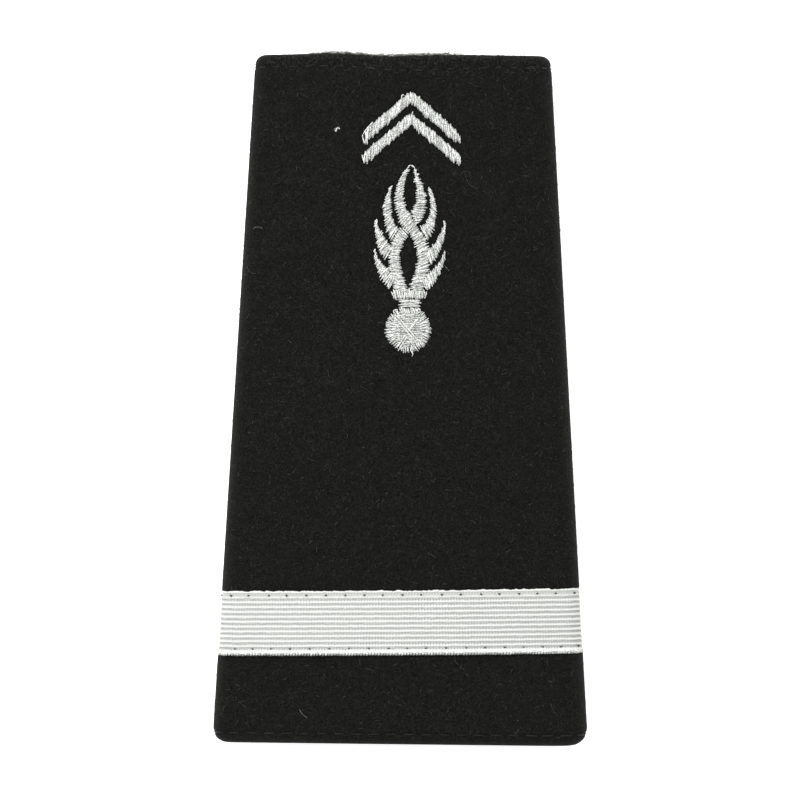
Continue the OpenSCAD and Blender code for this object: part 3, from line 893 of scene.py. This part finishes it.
def stitch(left, right, height):
    """Path of one stitch over the padding between two holes, given by x and y."""
    reach = np.array(right) - left
    aside = np.array((-reach[1], reach[0])) * rng.normal(0, stitch_bow)
    caught = rng.random() < caught_share and np.linalg.norm(reach) > caught_width
    place = rng.uniform(*caught_places)
    path = []
    for across, lift in arch:
        if caught and across == 0.5:
            across, lift = place, caught_height
        x, y = left + across * reach + bow(across) * (aside + rng.normal(0, stitch_wobble, 2))
        path.append((x, y, front_z(x, y) + lift * height))
    return path


def smooth_row(rows, at):
    """Row at a place between those of a table, on a smooth curve through them."""
    i = min(int(at), len(rows) - 2)
    f = at - i
    before, here, after, later = (rows[min(max(k, 0), len(rows) - 1)] for k in range(i - 1, i + 3))
    return (
        2 * here + (after - before) * f + (2 * before - 5 * here + 4 * after - later) * f ** 2
        + (3 * here - before - 3 * after + later) * f ** 3
    ) / 2


def band_height(width):
    """Height of a band's stitches where the band is that wide."""
    return satin_height * min(1, thin_height + (1 - thin_height) * width / full_width)


def satin_band(name, rows, slants=(0, 0), ragged=even_ragged):
    """A band of satin stitches over padding threads.

    Each row holds the left x, left y, right x and right y of the band's two edges. Slants, spaced evenly from
    its start to its end, tell how far on the left holes lie and the right ones back, in millimetres."""
    rows = np.array(rows)
    places = np.linspace(0, len(rows) - 1, finer_rows * len(rows))
    fine = np.array([smooth_row(rows, at) for at in places])
    steps = np.linalg.norm(np.diff(fine[:, :2] + fine[:, 2:], axis=0), axis=1) / 2
    run = np.concatenate([[0], np.cumsum(steps)])
    count = 2 * max(1, round(run[-1] / hole_pitch)) + 1
    along = np.linspace(0, run[-1], count) + rng.normal(0, hole_stray * hole_pitch, count)
    slant = np.interp(along, np.linspace(0, run[-1], len(slants)), slants) * MM
    holes = np.stack(
        [np.interp(along + turn * slant, run, fine[:, k]) for k, turn in enumerate((1, 1, -1, -1))], axis=1
    )
    outward = unit(holes[:, 2:] - holes[:, :2])
    for columns, turn, stray in ((slice(0, 2), -1, ragged[0]), (slice(2, 4), 1, ragged[1])):
        knots = np.arange(0, count + wander_holes, wander_holes)
        wander = np.interp(np.arange(count), knots, rng.normal(0, stray * wander_share, len(knots)))
        holes[:, columns] += turn * outward * (rng.normal(0, stray, (count, 1)) + wander[:, None])

    paths, widths, heights, shades = [], [], [], []
    for i in range(count - 1):
        left, right = (i, i + 1) if i % 2 == 0 else (i + 1, i)
        if rng.random() < passing_share:
            right = min(right + 2, count - 1)
        wide = np.linalg.norm(holes[right, 2:] - holes[left, :2])
        height = band_height(wide) * rng.uniform(*stitch_heights)
        paths.append(stitch(holes[left, :2], holes[right, 2:], height))
        thick = satin_radius * rng.uniform(*stitch_sizes)
        widths.append([thick] * len(arch))
        heights.append([thick * stitch_flatness] * len(arch))
        shades.append(rng.uniform(*stitch_shades))
    for across in padding_across:
        path, wide, high = [], [], []
        for share in np.linspace(*padding_run, len(arch)):
            row = np.array([np.interp(share * run[-1], run, fine[:, k]) for k in range(4)])
            width = np.linalg.norm(row[2:] - row[:2])
            height = band_height(width)
            x, y = row[:2] + across * (row[2:] - row[:2])
            path.append((x, y, front_z(x, y) + padding_height * height))
            wide.append(padding_width * width)
            high.append(padding_height * height)
        paths.append(path)
        widths.append(wide)
        heights.append(high)
        # The padding takes the lowest shade: painted shade under the stitches
        shades.append(0)
    return laid_threads(name, paths, widths, heights, shades=shades)


def chevron_rows(point_y, drop):
    """Rows of a chevron, from its left end to its point and on to its right end."""
    rows = []
    for i in range(-chevron_steps, chevron_steps + 1):
        share = i / chevron_steps
        side = -1 if share < 0 else 1
        past = max(0, abs(share) - (1 - end_share)) / end_share
        foot = abs(share) + stitch_lean * math.tanh(abs(share) / lean_run) - end_turn[side] * past ** 1.5
        rows.append((
            chevron_shift + share * chevron_half_span,
            point_y - max(0, abs(share) - blunt_point) * drop - end_drop[side] * past ** 2,
            chevron_shift + side * foot * chevron_half_span,
            point_y - chevron_arm - foot * drop + end_rise[side] * past ** 2,
        ))
    return rows


# The lowest stop, which the padding takes, is painted shade under the stitches
white_shades = ((0, (0.42, 0.43, 0.41)), (0.25, (0.66, 0.67, 0.64)), (0.65, (0.95, 0.96, 0.94)))
white_thread = thread_material(
    "white_thread", white_shades, twist=0.42, roughness=0.36, specular=0.5, sheen=0.5
)
for i, (chevron, drop) in enumerate(chevron_drops.items()):
    rows = chevron_rows(chevron_point_y - i * chevron_pitch, drop)
    mesh = satin_band(chevron + "_stitches", rows, ragged=chevron_ragged)
    worn(mesh, white_thread, chevron)


# Grenade's flame: satin-stitched strands that cross each other, with three small flames on either side. The
# tables give each band's edges in hundredths of the grenade's height, from the foot of its ball.
grenade_height = 29.1 * MM
grenade_shift = 0.95 * MM
grenade_foot_y = narrow_y - 16.9 * MM - grenade_height
grenade_turn = math.radians(0.26)


def grenade_point(u, v):
    """The x and y on the front of a place in hundredths of the grenade's height."""
    x, y = u * grenade_height / 100, v * grenade_height / 100
    return (
        grenade_shift + x * math.cos(grenade_turn) - y * math.sin(grenade_turn),
        grenade_foot_y + y * math.cos(grenade_turn) + x * math.sin(grenade_turn),
    )


def grenade_band(node_name, slants, rows):
    """The satin-stitched band of rows in hundredths of the grenade's height, in place of a node."""
    edges = [(*grenade_point(*row[:2]), *grenade_point(*row[2:])) for row in rows]
    worn(satin_band(node_name + "_stitches", edges, slants), white_thread, node_name)


flames = {
    "flame_strand_right": ((0.12, 0.1), [
        (3.1, 97.2, 4.1, 97.3), (3.3, 93.3, 5.9, 93.3), (4.1, 88.0, 8.2, 88.0),
        (4.3, 83.8, 9.6, 83.3), (3.4, 79.1, 9.8, 79.1), (1.8, 75.6, 8.9, 74.4),
        (2.2, 72.0, 7.3, 71.4), (3.7, 69.2, 6.0, 69.3),
    ]),
    "flame_strand_left": ((0, 0), [
        (-3.2, 67.2, 1.0, 63.4), (-6.0, 65.4, -0.7, 61.0), (-8.2, 61.9, -1.8, 59.3),
        (-9.3, 57.5, -3.0, 56.4), (-10.1, 52.2, -4.0, 51.9), (-10.1, 47.5, -3.8, 47.5),
        (-9.2, 41.9, -2.7, 41.9), (-8.2, 38.3, -1.2, 38.5), (-7.2, 33.6, 0.3, 33.5),
    ]),
    "flame_strand_over": ((0.35, 0.25, 0.08, 0.35, 0.1), [
        (-0.4, 97.8, 1.0, 97.2), (-1.8, 96.4, 0.6, 95.8), (-4.0, 93.1, -1.1, 93.1),
        (-6.2, 87.5, -1.7, 87.2), (-7.2, 81.7, -2.1, 81.7), (-6.2, 75.4, -0.4, 76.2),
        (-4.0, 67.5, 2.3, 72.8), (0.5, 63.3, 5.8, 66.9), (3.3, 58.1, 9.9, 60.6),
        (4.9, 51.9, 11.5, 52.5), (4.3, 45.9, 11.2, 45.9), (2.2, 39.6, 9.8, 39.4),
        (0.8, 33.6, 8.6, 33.4),
    ]),
    "flame_left_upper": ((0.2, 0.4), [
        (-9.5, 88.4, -8.7, 88.4), (-10.7, 85.4, -8.8, 85.1), (-12.5, 81.2, -8.9, 81.2),
        (-13.1, 75.9, -8.5, 76.2), (-12.6, 70.9, -8.4, 72.2), (-11.6, 65.9, -6.4, 68.6),
        (-9.0, 60.2, -4.4, 65.2),
    ]),
    "flame_left_middle": ((0.3, 0.5), [
        (-17.4, 71.0, -16.4, 70.9), (-17.6, 67.5, -15.5, 67.6), (-16.9, 62.7, -13.4, 63.9),
        (-16.1, 58.3, -11.0, 60.0), (-15.0, 54.0, -8.8, 57.0), (-12.4, 49.9, -8.8, 54.0),
    ]),
    "flame_left_lower": ((0.3, 0.5), [
        (-17.8, 55.4, -17.3, 55.4), (-17.7, 51.4, -16.2, 51.7), (-17.2, 47.2, -13.8, 48.2),
        (-15.9, 42.9, -10.4, 45.4), (-13.7, 38.7, -7.6, 42.5), (-10.2, 34.6, -6.8, 39.2),
    ]),
    "flame_right_upper": ((-0.2, -0.35), [
        (10.9, 88.0, 11.9, 87.8), (10.9, 84.8, 12.8, 84.6), (11.8, 80.1, 14.4, 80.4),
        (11.8, 75.6, 14.9, 75.4), (10.4, 71.7, 14.6, 70.4), (8.2, 68.7, 13.7, 66.0),
        (6.6, 67.4, 12.4, 62.4), (6.8, 65.6, 10.2, 60.4),
    ]),
    "flame_right_middle": ((-0.25, -0.5), [
        (19.1, 70.1, 19.9, 70.1), (18.4, 66.7, 19.8, 66.5), (16.7, 63.6, 19.4, 62.4),
        (15.1, 60.3, 18.6, 58.5), (12.7, 57.5, 16.9, 54.4), (10.2, 55.4, 14.9, 50.5),
        (9.8, 51.8, 12.5, 47.2),
    ]),
    "flame_right_lower": ((-0.25, -0.5), [
        (19.2, 54.4, 19.7, 54.3), (18.0, 51.2, 19.4, 50.7), (16.2, 48.1, 18.5, 46.7),
        (13.5, 45.1, 16.8, 42.3), (10.3, 42.7, 14.7, 38.7), (8.4, 39.6, 12.2, 35.2),
        (7.2, 37.5, 9.9, 34.0),
    ]),
}
for node_name, (slants, rows) in flames.items():
    grenade_band(node_name, slants, rows)


# Collar, neck and ring of the grenade: three short satin-stitched bands between the flame and the ball. The
# stitches of the collar and the ring stand upright, and those of the neck lie level.
bomb_bands = {
    "bomb_collar": [
        (-8.7, 32.6, -7.8, 29.4), (-6.7, 34.1, -5.7, 29.0), (-3.2, 34.5, -2.6, 29.0),
        (0.5, 34.4, 0.5, 29.1), (4.2, 34.4, 4.2, 29.0), (7.6, 34.0, 7.1, 29.0),
        (9.8, 32.7, 9.3, 29.8),
    ],
    "bomb_neck": [
        (-5.9, 28.9, 6.9, 28.9), (-4.9, 26.8, 7.1, 26.8), (-4.6, 24.6, 6.4, 24.6),
    ],
    "bomb_ring": [
        (-4.7, 24.5, -4.9, 21.3), (-2.1, 24.6, -2.3, 20.9), (0.5, 24.6, 0.5, 20.8),
        (3.4, 24.5, 3.7, 21.0), (6.1, 24.2, 6.8, 21.8),
    ],
}
for node_name, rows in bomb_bands.items():
    grenade_band(node_name, (0, 0), rows)


# Ball of the grenade: a low dome with level stitches in short runs over its middle. Stitches that fan out
# round the rim close it in, every other one longer at the sides, with a gap where the ring meets the ball.
ball_middle = (0, 13.2)
ball_radius = 12
ball_height = 1 * MM
# The dome's height at its rim and how much it rises from there, as shares
dome_shares = (0.22, 0.62)
# Level stitches: pitch of the rows, length of a stitch, its range as shares and how far ahead of a row the
# first one may start, the least length that is sewn and how far they reach up and aside in radii, how far
# they fan out, tilt and lie uneven, and how much of the arch they take, in millimetres
fill_pitch = 0.32 * MM
fill_run = 1.9 * MM
fill_lengths = (0.75, 1.15)
fill_ahead = 0.7
fill_least = 0.12
fill_reach = 0.84
fill_half = 0.7
fill_fan = 0.25
fill_tilt = 0.03
fill_uneven = 0.05
fill_bow = 0.16
fill_shades = (0.08, 1)
# Rim stitches: where they end inside and outside in radii, and how both vary, how much longer every other
# one is, their number, how they stray in pitches and splay, and the gap between them
rim_inner = 0.74
rim_inner_range = (-0.1, 0.08)
rim_outer = (0.99, 0.03)
rim_long = 0.3
rim_count = 78
rim_stray = 0.16
rim_splay = 0.05
rim_gap = (math.radians(-27), math.radians(33))
rim_shades = (0.13, 1)
# They climb from the rim by a start and a rise across them, in millimetres, are at full height from this lift
# of the arch on, and lie a little above the dome, by a mean and a spread. Their inner ends sink in.
rim_climb = (0.1, 2.9)
rim_full_lift = 0.84
rim_above = 0.1 * MM
rim_level = (0.02, 0.035)
rim_sink = 0.15 * MM
# Half width and half height of the threads of the fill, the rim and the padding
fill_size = (0.09 * MM, 0.08 * MM)
rim_size = (0.09 * MM, 0.09 * MM)
pad_size = (0.4 * MM, 0.33 * MM)
# The padding threads' number, how far aside and up they reach in radii, and their drop below half height
pad_count = 9
pad_aside = 0.78
pad_reach = 0.85
pad_drop = 0.06 * MM


def on_ball(u, v, lift=0.0):
    """Point on the ball's dome at a place from its middle, in shares of its radius."""
    x, y = grenade_point(ball_middle[0] + u * ball_radius, ball_middle[1] + v * ball_radius)
    dome = max(0.0, 1 - math.hypot(u, v) ** 4)
    return x, y, front_z(x, y) + ball_height * (dome_shares[0] + dome_shares[1] * dome) + lift


def ball_fill():
    """Level stitches over the ball's middle, each with its path, half width, half height and shade."""
    radius = ball_radius * grenade_height / 100
    rows = int(2 * fill_reach * radius / fill_pitch)
    found = []
    for i in range(rows):
        v = -fill_reach + 2 * fill_reach * (i + 0.5) / rows
        half = min(fill_half, math.sqrt(fill_reach ** 2 - v ** 2))
        u = -half - rng.uniform(0, fill_ahead) * fill_run / radius
        while u < half:
            end = u + fill_run / radius * rng.uniform(*fill_lengths)
            start, stop = max(u, -half), min(end, half)
            tilt = rng.normal(0, fill_tilt)
            level = rng.normal(0, fill_uneven)
            if stop - start > fill_least:
                path = []
                for across, lift in arch:
                    place = start + across * (stop - start)
                    fan = 1 - fill_fan * (1 - abs(place)) + tilt * (across - 0.5)
                    path.append(on_ball(place, v * fan, ((lift - arch_top) * fill_bow + level) * MM))
                found.append((path, *fill_size, rng.uniform(*fill_shades)))
            u = end
    return found


def ball_rim():
    """Stitches that fan out round the ball's rim, told like those of its fill."""
    found = []
    for i in range(rim_count):
        turn = 2 * math.pi * (i + 0.5 + rng.normal(0, rim_stray)) / rim_count - math.pi
        if rim_gap[0] < turn < rim_gap[1]:
            continue
        splay = rng.normal(0, rim_splay)
        inner = rim_inner - rim_long * (i % 2) * math.sin(turn) ** 2 + rng.uniform(*rim_inner_range)
        outer = rng.normal(*rim_outer)
        level = rng.normal(*rim_level) * MM
        path = []
        for across, lift in arch:
            reach = outer + across * (inner - outer)
            aim = turn + splay * across
            x, y, top = on_ball(reach * math.sin(aim), reach * math.cos(aim))
            ground = front_z(x, y)
            height = min(top - ground + rim_above + level, (rim_climb[0] + rim_climb[1] * across) * MM)
            sink = rim_sink if across == 1 else 0
            path.append((x, y, ground + height * min(1, lift / rim_full_lift) - sink))
        found.append((path, *rim_size, rng.uniform(*rim_shades)))
    return found


def ball_padding():
    """Thick upright threads under the ball's stitches, told like those of its fill."""
    found = []
    for i in range(pad_count):
        u = -pad_aside + 2 * pad_aside * i / (pad_count - 1)
        half = math.sqrt(pad_reach ** 2 - u ** 2)
        points = [on_ball(u, share * half) for share in np.linspace(-1, 1, len(arch))]
        path = [(x, y, (front_z(x, y) + z) / 2 - pad_drop) for x, y, z in points]
        # The padding takes the lowest shade: painted shade under the ball's stitches
        found.append((path, *pad_size, 0))
    return found


ball_threads = ball_fill() + ball_rim() + ball_padding()
sizes = np.array([thread[1:] for thread in ball_threads])
ball_mesh = laid_threads(
    "bomb_ball_stitches", [thread[0] for thread in ball_threads], sizes[:, :1], sizes[:, 1:2],
    shades=sizes[:, 2],
)
worn(ball_mesh, white_thread, "bomb_ball")


# Loose threads of the embroidery: long stitches that cross on the ball, small loops at the flame's tip, the
# collar and the ring, a tail below the ball, threads that stand off the chevrons, and a snippet on the felt.
loose_radius = 0.08 * MM
loose_flatness = 0.9
loose_shade = 0.9
# Each through points of x, y and height above the felt in millimetres
loose_threads = (
    ((-1.15, 12.7, 0.85), (0.15, 11.2, 1.08), (1.45, 9.7, 1.08), (2.75, 8.2, 0.8)),
    ((-0.8, 12.95, 0.85), (0.5, 11.45, 1.1), (1.8, 9.9, 1.08), (3.05, 8.45, 0.75)),
    ((2.5, 12.5, 0.9), (2.05, 11.9, 1.06), (1.6, 11.25, 1.08), (1.25, 10.7, 0.9)),
    ((2.2, 12.35, 0.9), (1.75, 11.75, 1.06), (1.3, 11.1, 1.08), (0.95, 10.6, 0.9)),
    ((0.55, 10.0, 0.95), (0.15, 9.4, 1.06), (-0.25, 8.75, 1.04), (-0.6, 8.2, 0.8)),
    ((0.8, 9.75, 0.95), (0.45, 9.15, 1.06), (0.05, 8.55, 1.04), (-0.25, 8.05, 0.8)),
    ((1.45, 7.6, 0.2), (1.6, 7.25, 0.35), (1.68, 7.0, 0.25), (1.58, 6.75, 0.05)),
    ((-1.15, 13.2, 0.3), (-1.3, 13.65, 0.55), (-0.9, 13.85, 0.6), (-0.6, 13.5, 0.4)),
    ((2.55, 16.1, 0.6), (2.8, 16.55, 0.85), (3.15, 16.5, 0.85), (3.15, 16.0, 0.5)),
    ((0.5, 34.9, 0.1), (0.62, 35.3, 0.45), (0.8, 35.6, 0.45), (1.0, 35.7, 0.05)),
    ((0.8, 35.55, 0.1), (1.0, 35.9, 0.4), (1.3, 35.95, 0.4), (1.55, 35.7, 0.05)),
    ((1.35, 35.95, 0.1), (1.65, 35.8, 0.5), (1.85, 35.5, 0.5), (1.8, 35.15, 0.05)),
    ((1.8, 35.4, 0.1), (2.0, 35.15, 0.45), (2.05, 34.85, 0.45), (2.0, 34.55, 0.05)),
    ((-4.6, 42.55, 0.3), (-5.15, 42.0, 0.5), (-5.75, 41.25, 0.5), (-6.05, 40.75, 0.1)),
    ((-0.2, 46.25, 0.1), (-0.18, 46.6, 0.3), (0.05, 46.8, 0.3), (0.18, 46.6, 0.1)),
    ((8.55, 37.8, 0.1), (8.65, 37.4, 0.5), (8.7, 36.9, 0.6), (8.65, 36.5, 0.3)),
    ((1.5, 44.2, 0.05), (1.45, 43.9, 0.5), (1.42, 43.6, 0.75), (1.4, 43.2, 0.7)),
    ((-10.25, 41.1, 0.03), (-10.22, 41.48, 0.14), (-9.97, 41.72, 0.14), (-9.68, 41.52, 0.03)),
)


def loose_path(points):
    """Smooth path through points of x, y and height above the felt."""
    points = np.array(points) * MM
    smooth = [smooth_row(points, at) for at in np.linspace(0, len(points) - 1, len(arch))]
    return [(x, y, front_z(x, y) + height) for x, y, height in smooth]


loose_paths = [loose_path(points) for points in loose_threads]
loose_mesh = laid_threads(
    "loose_threads", loose_paths, loose_radius, loose_radius * loose_flatness,
    shades=[loose_shade] * len(loose_paths),
)
worn(loose_mesh, white_thread)


# Nap: short matted fibres that lie every way over the felt, front and back, a few pale hairs and specks of
# lint caught in them, and a fringe of fuzz that stands off the lip of the narrow mouth.
nap_count = 8200
rim_nap_count = 1300
nap_rings = 4
hair_count = 85
fringe_count = 1200
hair_rings = 7
nap_radius = 0.018 * MM
hair_radius = 0.012 * MM
hair_palest = 0.85
fringe_radius = 0.02 * MM
# The fringe runs over these shares of the front's half width, and thins out over the given share at its ends
fringe_ends = (-0.72, 0.48)
fringe_fade = 0.16
# A fibre on the rim: its turn round the lip as lowest, likeliest and highest, bend, length, lift and shade
rim_turns = (-2.4, 1.2, 1.4)
rim_bend = 1.2
rim_lengths = (0.2 * MM, 0.7 * MM)
rim_lift = 0.1 * MM
rim_nap_shades = (0.45, 0.97)
# A fringe fibre's lean in degrees, from the lip's start over its tip, with the likeliest in the middle
fringe_turn = (52, 84, 102)
fringe_lengths = (0.25 * MM, 0.7 * MM)
# Tufts stand where the noise along the lip, at this scale, is above a number drawn from this range
tuft_scale = 26
tuft_range = (-0.5, 0.4)
# How far a fibre bends over as it rises, and how far it drifts aside, by a spread across and along the board
fringe_bend = 0.6
fringe_drift = 0.8
fringe_spread = (1, 0.5)
fringe_sink = 0.03 * MM
# Fibres that lie on the felt bow off it by a share of their lift from this range, and their ends sink in
lift_range = (0.3, 1)
fibre_sink = 0.01 * MM
nap_end_y = narrow_y - lip_radius


def lying_fibre(rings, arc, y, long, heading, curl, lift):
    """Path of a fibre that lies on the felt from a place round the sleeve, bent evenly along its length."""
    path = []
    for i in range(rings):
        share = i / (rings - 1)
        y_here = min(max(y, -nap_end_y), nap_end_y)
        point, out = skin(station_at(arc, y_here), y_here)
        path.append(point + out * (bow(share) * lift - fibre_sink))
        heading += curl / (rings - 1)
        arc += math.cos(heading) * long / (rings - 1)
        y += math.sin(heading) * long / (rings - 1)
    return path


def strewn(count, rings, shortest, longest, bend, lift):
    """Paths of fibres strewn evenly over the outside of the sleeve."""
    found = []
    for i in range(count):
        y = rng.uniform(-nap_end_y, nap_end_y)
        half_round = way_round(y) / 2
        arc = rng.uniform(-half_round, half_round)
        found.append(lying_fibre(
            rings, arc, y, rng.uniform(shortest, longest) * MM,
            rng.uniform(0, 2 * math.pi), rng.normal(0, bend), lift * rng.uniform(*lift_range) * MM,
        ))
    return found


def rim_point(across, turn):
    """Point and outward direction on the narrow mouth's rim, at an angle from where its lip begins."""
    across = max(-1, min(1, across))
    if turn < 0:
        return skin(across, narrow_y - lip_radius * (1 - turn))
    point, out = skin(across, narrow_y - lip_radius * (1 - math.sin(turn)), lip_radius * (1 - math.cos(turn)))
    return point, out * math.cos(turn) + Vector((0, math.sin(turn), 0))


def rim_fibre():
    """Path of a short fibre on the narrow mouth's rim, where the nap is rubbed up close to the lip."""
    across, turn = rng.uniform(-1, 1), rng.triangular(*rim_turns)
    heading, curl = rng.uniform(0, 2 * math.pi), rng.normal(0, rim_bend)
    step = rng.uniform(*rim_lengths) / (nap_rings - 1)
    path = []
    for i in range(nap_rings):
        share = i / (nap_rings - 1)
        point, away = rim_point(across, turn)
        path.append(point + away * (bow(share) * rim_lift - fibre_sink))
        heading += curl / (nap_rings - 1)
        across += math.cos(heading) * step / (narrow_mouth / 2)
        turn += math.sin(heading) * step / lip_radius
    return path


def fringe_fibre():
    """Path of a fibre rubbed up in tufts from the narrow mouth's lip, where the strap wears it most."""
    kept = False
    while not kept:
        across = rng.uniform(*fringe_ends)
        faded = min(1, (across - fringe_ends[0]) / fringe_fade, (fringe_ends[1] - across) / fringe_fade)
        tuft = noise.noise(Vector((across * tuft_scale, 0, 2)))
        kept = tuft > rng.uniform(*tuft_range) and rng.random() < faded
    root, away = rim_point(across, math.radians(rng.triangular(*fringe_turn)))
    aside = Vector((*rng.normal(0, fringe_spread), 0))
    long = rng.uniform(*fringe_lengths)
    path = []
    for i in range(hair_rings):
        share = i / (hair_rings - 1)
        stand = long * share * (1 - fringe_bend * share) - fringe_sink
        path.append(root + away * stand + aside * (long * fringe_drift * share ** 1.5))
    return path


def fibre_material(name, dark, middle, light):
    """Dull wool fibre. Most are dark, and a few are as pale as the light shade."""
    material, tree = new_material(name, {"Roughness": 0.8, "Specular IOR Level": 0.2})
    shade = noted(tree, "yarn")[1][2]
    return dressed(material, ramp(tree, shade, (0.0, dark), (0.75, middle), (1.0, light)))


dark_fibre = fibre_material("dark_fibre", (0.004, 0.004, 0.004), (0.022, 0.022, 0.02), (0.095, 0.095, 0.087))
pale_fibre = fibre_material("pale_fibre", (0.03, 0.03, 0.027), (0.12, 0.12, 0.107), (0.55, 0.55, 0.49))
nap = strewn(nap_count, nap_rings, shortest=0.2, longest=0.9, bend=1.2, lift=0.1)
nap += [rim_fibre() for i in range(rim_nap_count)]
nap_shades = [*rng.random(nap_count), *rng.uniform(*rim_nap_shades, rim_nap_count)]
nap_mesh = laid_threads("felt_nap", nap, nap_radius, sides=3, shades=nap_shades)
worn(nap_mesh, dark_fibre)
hairs = strewn(hair_count, hair_rings, shortest=0.5, longest=2.2, bend=1.4, lift=0.16)
hair_shades = list(rng.random(hair_count) ** 2 * hair_palest)
# Single hairs and specks: x and y of the start, length, heading in degrees, bend from end to end, and shade
single_hairs = (
    (-21.0, 52.0, 2.4, 35, 50, 0.5), (-13.3, 51.9, 1.3, 245, -60, 0.6), (-10.1, 41.4, 0.5, 75, 20, 1),
    (6.7, 23.0, 0.9, -45, 0, 0.7), (6.55, 20.7, 1.1, -55, 10, 0.9), (2.35, 35.7, 0.6, -75, 0, 0.6),
    (-25.0, -46.6, 2.0, -15, -60, 0.5), (-15.6, -47.6, 1.9, -70, 40, 0.85),
    (-14.6, 52.2, 1.5, 240, 40, 0.5), (-6.0, 51.6, 1.0, -60, 30, 0.7), (4.6, 51.9, 1.0, -50, 20, 0.6),
    (-7.2, 33.0, 1.6, -55, 25, 0.3), (-16.0, 47.0, 1.6, -35, 10, 0.3), (10.6, 34.0, 2.9, 60, 190, 0.4),
    (9.65, 34.9, 3.5, -95, 75, 0.4), (-10.3, 41.3, 1.2, 40, 400, 1), (-10.15, 41.2, 0.8, 100, -70, 1),
)
single_hair_lift = 0.1 * MM
for x, y, long, heading, curl, shade in single_hairs:
    hairs.append(lying_fibre(
        hair_rings, x * MM, y * MM, long * MM, math.radians(heading), math.radians(curl), single_hair_lift,
    ))
    hair_shades.append(shade)
fringe = [fringe_fibre() for i in range(fringe_count)]
fringe_shades = rng.random(fringe_count) ** 0.75
hair_mesh = laid_threads("felt_hairs", hairs, hair_radius, sides=4, shades=hair_shades)
fringe_mesh = laid_threads("felt_fringe", fringe, fringe_radius, sides=3, shades=fringe_shades)
worn(hair_mesh, pale_fibre)
worn(fringe_mesh, pale_fibre)


# Floor and light: a plain white light table, under a wide soft light and an even white surround, so that
# hardly any shadow is left round the board.
floor_half = 1.5
floor_drop = 0.05 * MM
floor_bm = bmesh.new()
bmesh.ops.create_grid(floor_bm, x_segments=1, y_segments=1, size=floor_half)
bmesh.ops.translate(floor_bm, vec=(0, 0, -floor_drop), verts=floor_bm.verts)
floor_mesh = bpy.data.meshes.new("floor")
floor_bm.to_mesh(floor_mesh)
floor_bm.free()
pale_floor = new_material("pale_floor", {
    "Base Color": (0.93, 0.93, 0.93, 1), "Roughness": 0.9,
    "Emission Color": (1, 1, 1, 1), "Emission Strength": 0.45,
})[0]
floor = placed(floor_mesh, pale_floor)

world = bpy.data.worlds.new("surround")
world.use_nodes = True
world.node_tree.nodes["Background"].inputs["Color"].default_value = (1, 1, 1, 1)
world.node_tree.nodes["Background"].inputs["Strength"].default_value = 1.0
bpy.context.scene.world = world

lamp = bpy.data.lights.new("soft_box", "AREA")
lamp.shape = "RECTANGLE"
lamp.size = 0.5
lamp.size_y = 0.3
lamp.energy = 4.5
soft_box = bpy.data.objects.new("soft_box", lamp)
soft_box.location = (-0.12, 0.19, 0.57)
soft_box.rotation_euler = (Vector((0, 0, 0)) - soft_box.location).to_track_quat("-Z", "Y").to_euler()
bpy.context.scene.collection.objects.link(soft_box)
